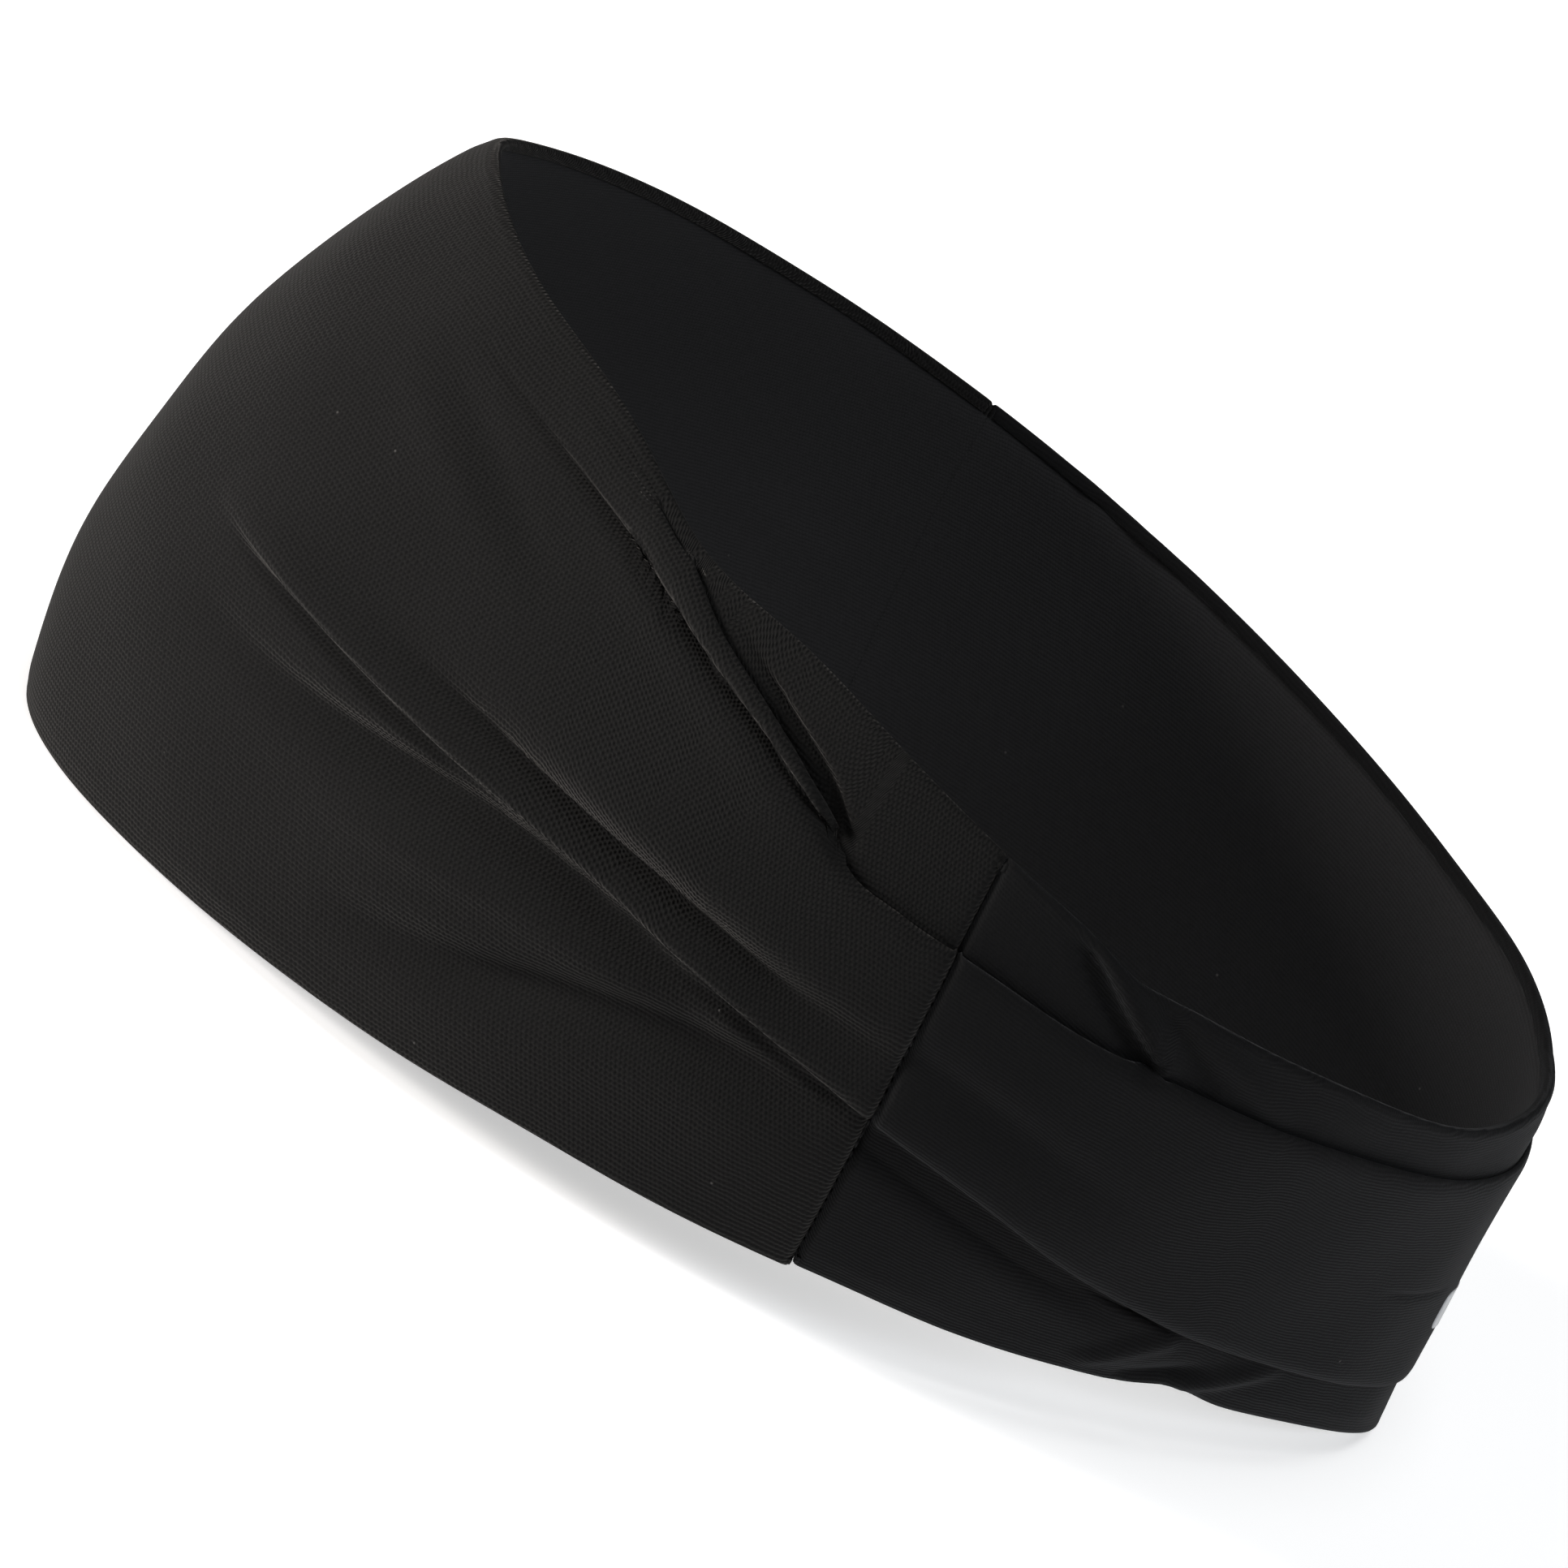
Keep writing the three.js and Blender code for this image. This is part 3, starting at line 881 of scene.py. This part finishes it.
@dataclass
class EdgeStitching:
    """The running stitches inside a panel's turned edge."""

    cloth: Cloth
    panel: Panel
    finish: "ThreadFinish"
    steps: int = 600
    end_steps: int = 9
    pitch: float = 2.4
    length: float = 1.8
    diameter: float = 0.36
    inset: float = 1.25
    out: float = -0.42

    def build(self, name: str, edge: Edge) -> bpy.types.Object:
        """An edge's stitches as one piece.

        Args:
            name: The CAD node that it stands for.
            edge: The panel's edge that they run along.

        Returns:
            The piece.
        """
        share = 1.0 if edge is Edge.TOP else 0.0
        fine = Columns.across(self.panel.side, self.panel.seam, self.steps)
        inside = slice(self.end_steps, -self.end_steps)
        angle = fine.angle(np.full((len(fine.way), 1), share))[inside, 0]
        left = np.sin(angle) > 0
        degrees = degrees_from_front(angle)
        if edge is Edge.TOP:
            height = self.cloth.wall.height(angle) + self.cloth.top_wave(degrees, left) - self.inset
        else:
            height = self.cloth.bottom_wave(degrees, left) + self.inset
            height = height + self.panel.seam_lift(fine.way[inside])
        relief = self.cloth.relief(angle, height, self.panel.creases)
        line = self.cloth.place(angle, height, self.out + relief)
        run = np.concatenate([[0.0], np.cumsum(np.linalg.norm(np.diff(line, axis=0), axis=1))])
        stops = np.arange(self.pitch * MM, run[-1] - self.pitch * MM, self.pitch * MM)
        places = np.stack([np.interp(stops, run, line[:, axis]) for axis in range(3)], -1)
        ahead = np.stack([np.interp(stops + MM, run, line[:, axis]) for axis in range(3)], -1)
        piece = stitches(f"{name}_stitches", places, ahead, self.length, self.diameter)
        self.finish.dress(piece)
        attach(piece, BODY)
        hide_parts(name)
        log.info("%s: %d stitches", piece.name, len(places))
        return piece


@dataclass
class ReflectiveMark:
    """A plain rounded bar of reflective film at the nape."""

    cloth: Cloth
    panel: Panel
    finish: "FilmFinish"
    width: float = 35.0
    height: float = 6.0
    corner: float = 1.6
    above_edge: float = 21.0
    film: float = 0.12
    proud: float = 0.1
    slices: int = 30
    bands: int = 6

    def build(self, name: str) -> bpy.types.Object:
        """The bar, bent round the nape.

        Args:
            name: The CAD node that it stands for.

        Returns:
            The piece.
        """
        mesh = bmesh.new()
        bmesh.ops.create_grid(mesh, x_segments=1, y_segments=1, size=0.5)
        bmesh.ops.scale(mesh, vec=(self.width, self.height, 1.0), verts=mesh.verts)
        bmesh.ops.bevel(
            mesh,
            geom=mesh.verts[:],
            offset=self.corner,
            segments=6,
            profile=0.5,
            affect="VERTICES",
            material=-1,
        )
        for step in range(1, self.slices):
            across = (step / self.slices - 0.5) * self.width
            cut_across(mesh, Vector((across, 0, 0)), Vector((1, 0, 0)))
        for step in range(1, self.bands):
            up = (step / self.bands - 0.5) * self.height
            cut_across(mesh, Vector((0, up, 0)), Vector((0, 1, 0)))

        turn = math.radians(10)
        level = self.above_edge / float(self.cloth.wall.height(np.array(math.pi)))
        turns = np.array([math.pi, math.pi + turn])
        ends = self.cloth.wall.points(turns, np.full(2, level), np.ones(2))
        turn_per_mm = turn / float(np.linalg.norm(ends[1] - ends[0]))
        flat = np.array([vertex.co for vertex in mesh.verts])
        angle = math.pi + flat[:, 0] * turn_per_mm
        height = self.above_edge + flat[:, 1]
        face = self.cloth.middle + float(self.cloth.layers(np.array(HALF_TURN))) + self.panel.shell_ply / 2
        out = face + self.proud + self.cloth.relief(angle, height, self.panel.creases)
        points = self.cloth.place(angle, height, out)
        for vertex, point in zip(mesh.verts, points):
            vertex.co = point
        bmesh.ops.recalc_face_normals(mesh, faces=mesh.faces)
        mesh.faces.ensure_lookup_table()
        if mesh.faces[0].normal.y < 0:
            bmesh.ops.reverse_faces(mesh, faces=mesh.faces)
        for polygon in mesh.faces:
            polygon.smooth = True
        piece = finished("nape_mark_film", mesh)
        thicken(piece, self.film)
        self.finish.dress(piece)
        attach(piece, BODY)
        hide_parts(name)
        log.info("%s: %d faces", piece.name, len(piece.data.polygons))
        return piece


def cut_across(mesh: bmesh.types.BMesh, at: Vector, normal: Vector) -> None:
    """Cuts every face of a flat mesh along a plane."""
    geometry = mesh.verts[:] + mesh.edges[:] + mesh.faces[:]
    bmesh.ops.bisect_plane(mesh, geom=geometry, plane_co=at, plane_no=normal)


def stitches(name: str, places: Array, ahead: Array, length: float, diameter: float) -> bpy.types.Object:
    """Many short rounded stitches as one piece.

    Args:
        name: The piece's name.
        places: The middle of each stitch, in metres.
        ahead: A point further along the seam for each.
        length: A stitch's length, in millimetres.
        diameter: Its thickness, in millimetres.

    Returns:
        The piece.
    """
    mesh = bmesh.new()
    for place, toward in zip(places, ahead):
        along = Vector(toward - place).normalized()
        turn = along.to_track_quat("Z", "Y").to_matrix().to_4x4()
        size = Matrix.Diagonal((diameter / 2 * MM, diameter / 2 * MM, length / 2 * MM, 1.0))
        matrix = Matrix.Translation(Vector(place)) @ turn @ size
        bmesh.ops.create_uvsphere(mesh, u_segments=8, v_segments=6, radius=1.0, matrix=matrix)
    for face in mesh.faces:
        face.smooth = True
    return finished(name, mesh)


def finished(name: str, mesh: bmesh.types.BMesh) -> bpy.types.Object:
    """A piece from a finished bmesh, linked into the scene."""
    data = bpy.data.meshes.new(name)
    mesh.to_mesh(data)
    mesh.free()
    piece = bpy.data.objects.new(name, data)
    bpy.context.scene.collection.objects.link(piece)
    return piece


def thicken(piece: bpy.types.Object, ply: float) -> None:
    """Gives a sheet its thickness, in millimetres, half to each side."""
    solidify = piece.modifiers.new("ply", "SOLIDIFY")
    solidify.thickness = ply * MM
    solidify.offset = 0.0
    solidify.use_even_offset = False
    solidify.use_rim = True


# ---- finishes -------------------------------------------------------------------------------------------

CLOTH_UNIT = 0.1


class NodeBoard:
    """A small helper that lays out and links the nodes of a material or a group."""

    def __init__(self, tree: bpy.types.NodeTree) -> None:
        """Starts on a node tree."""
        self.tree = tree

    def add(self, kind: str, **settings: object) -> bpy.types.Node:
        """A new node with its settings."""
        node = self.tree.nodes.new(kind)
        for key, value in settings.items():
            setattr(node, key, value)
        return node

    def put(self, socket: bpy.types.NodeSocket, value: object) -> None:
        """Feeds an input socket from another socket, or sets its own value."""
        if isinstance(value, bpy.types.NodeSocket):
            self.tree.links.new(value, socket)
        else:
            socket.default_value = value

    def maths(self, operation: str, *values: object) -> bpy.types.NodeSocket:
        """The result of a Math node on sockets or numbers."""
        node = self.add("ShaderNodeMath", operation=operation)
        for socket, value in zip(node.inputs, values):
            self.put(socket, value)
        return node.outputs[0]

    def ranged(
        self, value: object, low: float, high: float, to_low: float, to_high: float
    ) -> bpy.types.NodeSocket:
        """A value mapped smoothly from one range to another."""
        node = self.add("ShaderNodeMapRange", interpolation_type="SMOOTHSTEP")
        for socket, given in zip(node.inputs, (value, low, high, to_low, to_high)):
            self.put(socket, given)
        return node.outputs[0]

    def noise(self, vector: bpy.types.NodeSocket, scale: float, detail: float = 3.0) -> bpy.types.NodeSocket:
        """A noise value over a vector."""
        node = self.add("ShaderNodeTexNoise")
        self.put(node.inputs["Vector"], vector)
        self.put(node.inputs["Scale"], scale)
        self.put(node.inputs["Detail"], detail)
        return node.outputs[0]


def new_group(name: str, inputs: dict[str, float], outputs: tuple[str, ...]) -> tuple[NodeBoard, dict, dict]:
    """An empty node group with named sockets.

    Args:
        name: The group's name.
        inputs: Float inputs and their defaults; Vector is a vector.
        outputs: Float outputs.

    Returns:
        The board, the input sockets by name and the output sockets by name.
    """
    tree = bpy.data.node_groups.new(name, "ShaderNodeTree")
    for label, value in inputs.items():
        kind = "NodeSocketVector" if label == "Vector" else "NodeSocketFloat"
        socket = tree.interface.new_socket(label, in_out="INPUT", socket_type=kind)
        if label != "Vector":
            socket.default_value = value
    for label in outputs:
        tree.interface.new_socket(label, in_out="OUTPUT", socket_type="NodeSocketFloat")
    board = NodeBoard(tree)
    source = board.add("NodeGroupInput")
    sink = board.add("NodeGroupOutput")
    return board, {s.name: s for s in source.outputs if s.name}, {s.name: s for s in sink.inputs if s.name}


def knit_group() -> bpy.types.NodeTree:
    """Rows of knitted stitches over cloth coordinates.

    Returns:
        A group that takes Vector, Courses and Wales, which are stitches for each cloth unit, and Beads,
        how strongly the stitches break the rows up. It gives Height.
    """
    inputs = {"Vector": 0.0, "Courses": 150.0, "Wales": 160.0, "Beads": 0.5}
    board, given, made = new_group("knit_rows", inputs, ("Height",))
    split = board.add("ShaderNodeSeparateXYZ")
    board.put(split.inputs[0], given["Vector"])
    wobble = board.noise(given["Vector"], 24.0, 2.0)
    wobble = board.maths("MULTIPLY", board.maths("SUBTRACT", wobble, 0.5), 1.4)
    courses = board.maths("MULTIPLY", split.outputs[1], given["Courses"])
    courses = board.maths("ADD", courses, wobble)
    row = board.maths("SINE", board.maths("MULTIPLY", courses, 2 * math.pi))
    wales = board.maths("MULTIPLY", split.outputs[0], given["Wales"])
    shifted = board.maths("ADD", wales, board.maths("MULTIPLY", board.maths("FLOOR", courses), 0.5))
    bead = board.maths("SINE", board.maths("MULTIPLY", shifted, 2 * math.pi))
    bead = board.maths("MULTIPLY", bead, given["Beads"])
    total = board.maths("ADD", row, bead)
    board.put(made["Height"], board.maths("ADD", board.maths("MULTIPLY", total, 0.3), 0.5))
    return board.tree


def lint_group() -> bpy.types.NodeTree:
    """Scattered specks of lint over Object coordinates, in metres.

    Returns:
        A group that takes Vector and Amount and gives Specks, a mask.
    """
    board, given, made = new_group("lint_specks", {"Vector": 0.0, "Amount": 0.5}, ("Specks",))
    cells = board.add("ShaderNodeTexVoronoi", feature="F1")
    board.put(cells.inputs["Vector"], given["Vector"])
    board.put(cells.inputs["Scale"], 170.0)
    near = board.ranged(cells.outputs["Distance"], 0.0, 0.045, 1.0, 0.0)
    chosen = board.add("ShaderNodeSeparateColor")
    board.put(chosen.inputs[0], cells.outputs["Color"])
    picked = board.maths("LESS_THAN", chosen.outputs[0], given["Amount"])
    board.put(made["Specks"], board.maths("MULTIPLY", near, picked))
    return board.tree


def tone_group() -> bpy.types.NodeTree:
    """Broad and fine unevenness of dyed yarn over Object coordinates, in metres.

    Returns:
        A group that takes Vector and gives Broad and Fine, both about a half.
    """
    board, given, made = new_group("yarn_tone", {"Vector": 0.0}, ("Broad", "Fine"))
    board.put(made["Broad"], board.noise(given["Vector"], 22.0, 3.0))
    board.put(made["Fine"], board.noise(given["Vector"], 1500.0, 2.0))
    return board.tree


@dataclass(frozen=True)
class KnitFinish:
    """A black knitted cloth, with its stitches at their real size; its colour is darkened in the stitch
    grooves as painted shade.
    """

    name: str
    dark: Colour
    light: Colour
    course: float
    wale: float
    beads: float
    relief: float
    sheen: float
    sheen_tint: Colour
    lint: float
    roughness: float = 0.9

    def material(self) -> bpy.types.Material:
        """The cloth's material, made once."""
        label = f"{self.name}_finish"
        found = bpy.data.materials.get(label)
        if found:
            return found
        material = bpy.data.materials.new(label)
        material.use_nodes = True
        material.diffuse_color = (*self.light, 1.0)
        board = NodeBoard(material.node_tree)
        shader = material.node_tree.nodes["Principled BSDF"]
        place = board.add("ShaderNodeTexCoord").outputs["Object"]
        cloth = board.add("ShaderNodeUVMap", uv_map="cloth").outputs[0]
        knit = board.add("ShaderNodeGroup", node_tree=GROUPS["knit"])
        board.put(knit.inputs["Vector"], cloth)
        board.put(knit.inputs["Courses"], CLOTH_UNIT / MM / self.course)
        board.put(knit.inputs["Wales"], CLOTH_UNIT / MM / self.wale)
        board.put(knit.inputs["Beads"], self.beads)
        lint = board.add("ShaderNodeGroup", node_tree=GROUPS["lint"])
        board.put(lint.inputs["Vector"], place)
        board.put(lint.inputs["Amount"], self.lint)
        tone = board.add("ShaderNodeGroup", node_tree=GROUPS["tone"])
        board.put(tone.inputs["Vector"], place)

        # The colour is painted darker in the stitch grooves, where the knit's height is low: painted shade.
        # The broad and fine noise add the yarn's random tone.
        shade = board.maths("MULTIPLY", knit.outputs["Height"], 0.55)
        shade = board.maths("ADD", shade, board.maths("MULTIPLY", tone.outputs["Broad"], 0.5))
        shade = board.maths("ADD", shade, board.maths("MULTIPLY", tone.outputs["Fine"], 0.35))
        shade = board.maths("SUBTRACT", shade, 0.2)
        colour = board.add("ShaderNodeMix", data_type="RGBA")
        board.put(colour.inputs[0], shade)
        board.put(colour.inputs[6], (*self.dark, 1.0))
        board.put(colour.inputs[7], (*self.light, 1.0))
        specked = board.add("ShaderNodeMix", data_type="RGBA")
        board.put(specked.inputs[0], board.maths("MULTIPLY", lint.outputs["Specks"], 0.7))
        board.put(specked.inputs[6], colour.outputs[2])
        board.put(specked.inputs[7], (0.11, 0.105, 0.1, 1.0))
        board.put(shader.inputs["Base Color"], specked.outputs[2])
        rough = board.maths("MULTIPLY", tone.outputs["Broad"], 0.12)
        board.put(shader.inputs["Roughness"], board.maths("ADD", rough, self.roughness - 0.06))

        fine = board.maths("MULTIPLY", tone.outputs["Fine"], 0.8)
        height = board.maths("ADD", knit.outputs["Height"], fine)
        height = board.maths("ADD", height, board.maths("MULTIPLY", lint.outputs["Specks"], 2.0))
        bump = board.add("ShaderNodeBump")
        board.put(bump.inputs["Strength"], 1.0)
        board.put(bump.inputs["Distance"], self.relief * MM)
        board.put(bump.inputs["Height"], height)
        board.put(shader.inputs["Normal"], bump.outputs[0])
        shader.inputs["Specular IOR Level"].default_value = 0.08
        shader.inputs["Sheen Weight"].default_value = self.sheen
        shader.inputs["Sheen Roughness"].default_value = 0.45
        shader.inputs["Sheen Tint"].default_value = (*self.sheen_tint, 1.0)
        return material

    def dress(self, piece: bpy.types.Object) -> None:
        """Gives a piece this cloth."""
        piece.data.materials.append(self.material())


@dataclass(frozen=True)
class ThreadFinish:
    """Spun polyester thread, darker than the cloth."""

    name: str = "thread"
    dark: Colour = (0.0022, 0.0022, 0.0024)
    light: Colour = (0.0070, 0.0070, 0.0074)
    ply: float = 0.3

    def material(self) -> bpy.types.Material:
        """The thread's material, made once."""
        label = f"{self.name}_finish"
        found = bpy.data.materials.get(label)
        if found:
            return found
        material = bpy.data.materials.new(label)
        material.use_nodes = True
        material.diffuse_color = (*self.light, 1.0)
        board = NodeBoard(material.node_tree)
        shader = material.node_tree.nodes["Principled BSDF"]
        place = board.add("ShaderNodeTexCoord").outputs["Object"]
        twist = board.add("ShaderNodeTexWave", wave_type="BANDS", bands_direction="DIAGONAL")
        board.put(twist.inputs["Vector"], place)
        board.put(twist.inputs["Scale"], 1.0 / (self.ply * MM) / (2 * math.pi))
        board.put(twist.inputs["Distortion"], 1.5)
        colour = board.add("ShaderNodeMix", data_type="RGBA")
        board.put(colour.inputs[0], twist.outputs["Fac"])
        board.put(colour.inputs[6], (*self.dark, 1.0))
        board.put(colour.inputs[7], (*self.light, 1.0))
        board.put(shader.inputs["Base Color"], colour.outputs[2])
        board.put(shader.inputs["Roughness"], board.ranged(twist.outputs["Fac"], 0.0, 1.0, 0.75, 0.6))
        bump = board.add("ShaderNodeBump")
        board.put(bump.inputs["Distance"], 0.05 * MM)
        board.put(bump.inputs["Height"], twist.outputs["Fac"])
        board.put(shader.inputs["Normal"], bump.outputs[0])
        shader.inputs["Specular IOR Level"].default_value = 0.1
        return material

    def dress(self, piece: bpy.types.Object) -> None:
        """Gives a piece this thread."""
        piece.data.materials.append(self.material())


@dataclass(frozen=True)
class FilmFinish:
    """Silver-grey reflective film, with its fine beaded surface."""

    name: str = "reflective_film"
    dark: Colour = (0.20, 0.205, 0.215)
    light: Colour = (0.36, 0.365, 0.38)
    bead: float = 0.16

    def material(self) -> bpy.types.Material:
        """The film's material, made once."""
        label = f"{self.name}_finish"
        found = bpy.data.materials.get(label)
        if found:
            return found
        material = bpy.data.materials.new(label)
        material.use_nodes = True
        material.diffuse_color = (*self.light, 1.0)
        board = NodeBoard(material.node_tree)
        shader = material.node_tree.nodes["Principled BSDF"]
        place = board.add("ShaderNodeTexCoord").outputs["Object"]
        beads = board.add("ShaderNodeTexVoronoi", feature="F1")
        board.put(beads.inputs["Vector"], place)
        board.put(beads.inputs["Scale"], 1.0 / (self.bead * MM))
        tone = board.add("ShaderNodeGroup", node_tree=GROUPS["tone"])
        board.put(tone.inputs["Vector"], place)
        beading = board.maths("MULTIPLY", beads.outputs["Distance"], 0.6)
        shade = board.maths("ADD", beading, tone.outputs["Broad"])
        colour = board.add("ShaderNodeMix", data_type="RGBA")
        board.put(colour.inputs[0], board.maths("MULTIPLY", shade, 0.7))
        board.put(colour.inputs[6], (*self.light, 1.0))
        board.put(colour.inputs[7], (*self.dark, 1.0))
        board.put(shader.inputs["Base Color"], colour.outputs[2])
        board.put(shader.inputs["Roughness"], board.ranged(tone.outputs["Broad"], 0.3, 0.7, 0.32, 0.45))
        bump = board.add("ShaderNodeBump")
        board.put(bump.inputs["Strength"], 0.6)
        board.put(bump.inputs["Distance"], 0.02 * MM)
        board.put(bump.inputs["Height"], beads.outputs["Distance"])
        board.put(shader.inputs["Normal"], bump.outputs[0])
        shader.inputs["Metallic"].default_value = 0.2
        return material

    def dress(self, piece: bpy.types.Object) -> None:
        """Gives a piece this film."""
        piece.data.materials.append(self.material())


GROUPS = {"knit": knit_group(), "lint": lint_group(), "tone": tone_group()}

FRONT_KNIT = KnitFinish(
    name="front_knit",
    dark=(0.0015, 0.0015, 0.0015),
    light=(0.0066, 0.0065, 0.0064),
    course=0.66,
    wale=0.62,
    beads=0.65,
    relief=0.13,
    sheen=0.05,
    sheen_tint=(1.0, 0.95, 0.9),
    lint=0.25,
)
BACK_KNIT = KnitFinish(
    name="back_knit",
    dark=(0.0019, 0.0019, 0.0020),
    light=(0.0052, 0.0052, 0.0054),
    course=0.5,
    wale=0.45,
    beads=0.25,
    relief=0.07,
    sheen=0.038,
    sheen_tint=(0.92, 0.95, 1.0),
    lint=0.12,
)
# The lining's colours are about three times lighter than the shell's, as painted fill light for the shaded
# inside of the band.
LINING_KNIT_PAINTED_FILL = KnitFinish(
    name="lining_knit",
    dark=(0.0077, 0.0077, 0.0080),
    light=(0.0198, 0.0198, 0.0205),
    course=0.5,
    wale=0.45,
    beads=0.4,
    relief=0.06,
    sheen=0.02,
    sheen_tint=(0.95, 0.97, 1.0),
    lint=0.4,
)


# ---- the studio -----------------------------------------------------------------------------------------


@dataclass(frozen=True)
class SoftLight:
    """A square soft light that looks at the object."""

    name: str
    azimuth: float
    elevation: float
    distance: float
    size: float
    power: float
    colour: Colour

    def place(self, target: Vector) -> None:
        """Hangs the light so that it looks at a target."""
        data = bpy.data.lights.new(self.name, "AREA")
        data.shape = "SQUARE"
        data.size = self.size
        data.energy = self.power
        data.color = self.colour
        light = bpy.data.objects.new(self.name, data)
        back = direction(self.azimuth, self.elevation)
        light.location = target + back * self.distance
        light.rotation_euler = back.to_track_quat("Z", "Y").to_euler()
        bpy.context.scene.collection.objects.link(light)


@dataclass(frozen=True)
class Studio:
    """The pale floor, the soft light and the camera."""

    floor_radius: float = 12.0
    floor_grey: float = 0.92
    surround: float = 0.06
    floor_glow: float = 0.45
    camera_azimuth: float = 76.86
    camera_elevation: float = 21.46
    camera_roll: float = 33.32
    camera_distance: float = 1.3
    lens: float = 247.08
    aim: tuple[float, float, float] = (4.7, -12.37, -6.4)
    lights: tuple[SoftLight, ...] = (
        SoftLight("front_softbox", 4.0, 12.0, 2.0, 0.6, 84.0, (1.0, 0.96, 0.93)),
        SoftLight("overhead_softbox", 85.0, 70.0, 2.2, 1.2, 18.0, (1.0, 1.0, 1.0)),
        SoftLight("rear_softbox", 155.0, 28.0, 2.2, 0.8, 22.0, (0.92, 0.95, 1.0)),
    )

    def lay_floor(self) -> None:
        """Lays the floor that the band stands on."""
        mesh = bmesh.new()
        bmesh.ops.create_circle(mesh, cap_ends=True, segments=96, radius=self.floor_radius)
        floor = finished("studio_floor", mesh)
        material = bpy.data.materials.new("studio_floor")
        material.use_nodes = True
        shader = material.node_tree.nodes["Principled BSDF"]
        shader.inputs["Base Color"].default_value = (self.floor_grey,) * 3 + (1.0,)
        shader.inputs["Roughness"].default_value = 0.95
        shader.inputs["Specular IOR Level"].default_value = 0.1
        shader.inputs["Emission Color"].default_value = (1.0, 1.0, 1.0, 1.0)
        shader.inputs["Emission Strength"].default_value = self.floor_glow
        floor.data.materials.append(material)

    def hang_lights(self, target: Vector) -> None:
        """Hangs the lights round a target and sets the even surround."""
        world = bpy.data.worlds.new("studio_surround")
        world.use_nodes = True
        background = world.node_tree.nodes["Background"]
        background.inputs["Color"].default_value = (1.0, 1.0, 1.0, 1.0)
        background.inputs["Strength"].default_value = self.surround
        bpy.context.scene.world = world
        for light in self.lights:
            light.place(target)

    def set_camera(self, centre: Vector) -> None:
        """Sets the camera, which is rolled so that the band's tipped pose is level with it."""
        scene = bpy.context.scene
        data = bpy.data.cameras.new("camera")
        data.lens = self.lens
        data.sensor_width = 36.0
        camera = bpy.data.objects.new("camera", data)
        back = direction(self.camera_azimuth, self.camera_elevation)
        camera.location = centre + Vector(self.aim) * MM + back * self.camera_distance
        camera.rotation_mode = "QUATERNION"
        turned = (-back).to_track_quat("-Z", "Y").to_matrix() @ Matrix.Rotation(
            math.radians(self.camera_roll), 3, "Z"
        )
        camera.rotation_quaternion = turned.to_quaternion()
        scene.collection.objects.link(camera)
        scene.camera = camera
        scene.view_settings.view_transform = "Standard"

    def build(self, wall: Wall) -> None:
        """Builds the studio round the middle of the wall."""
        low, high = CAD_BOX
        centre = Vector((0.0, wall.set_back * MM, (low.z + high.z) / 2))
        self.set_camera(centre)
        self.lay_floor()
        self.hang_lights(centre)
        log.info("studio: %d lights", len(self.lights))


def direction(azimuth: float, elevation: float) -> Vector:
    """The direction from the object towards a viewer: azimuth 0 looks along +Y and 90 along -X."""
    turn = math.radians(azimuth)
    rise = math.radians(elevation)
    return Vector((math.sin(turn) * math.cos(rise), -math.cos(turn) * math.cos(rise), math.sin(rise)))


# ---- the assembly ---------------------------------------------------------------------------------------


def main() -> None:
    """Builds the studio and the headband's pieces in order."""
    logging.basicConfig(level=logging.INFO, format="%(name)s: %(message)s")
    wall = Wall.standing_in(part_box("front_shell"))
    Studio().build(wall)
    cloth = Cloth(wall)
    seam = Seam()
    front = Panel(Side.FRONT, cloth, seam, FRONT_CREASES, FRONT_KNIT, LINING_KNIT_PAINTED_FILL, flat_length=0.264)
    back = Panel(
        Side.BACK,
        cloth,
        seam,
        BACK_CREASES,
        BACK_KNIT,
        LINING_KNIT_PAINTED_FILL,
        seam_step=0.7,
        flat_length=0.25,
        lining_flat=0.05,
    )
    front.build()
    back.build()
    thread = ThreadFinish()
    for name, left in (("left_seam_thread", True), ("right_seam_thread", False)):
        SeamStitching(cloth, seam, front, thread).build(name, left)
    for panel in (front, back):
        stitching = EdgeStitching(cloth, panel, thread)
        for edge in Edge:
            stitching.build(f"{panel.side.value}_{edge.value}_edge_thread", edge)
    ReflectiveMark(cloth, back, FilmFinish()).build("back_mark")


if __name__ == "__main__":
    main()
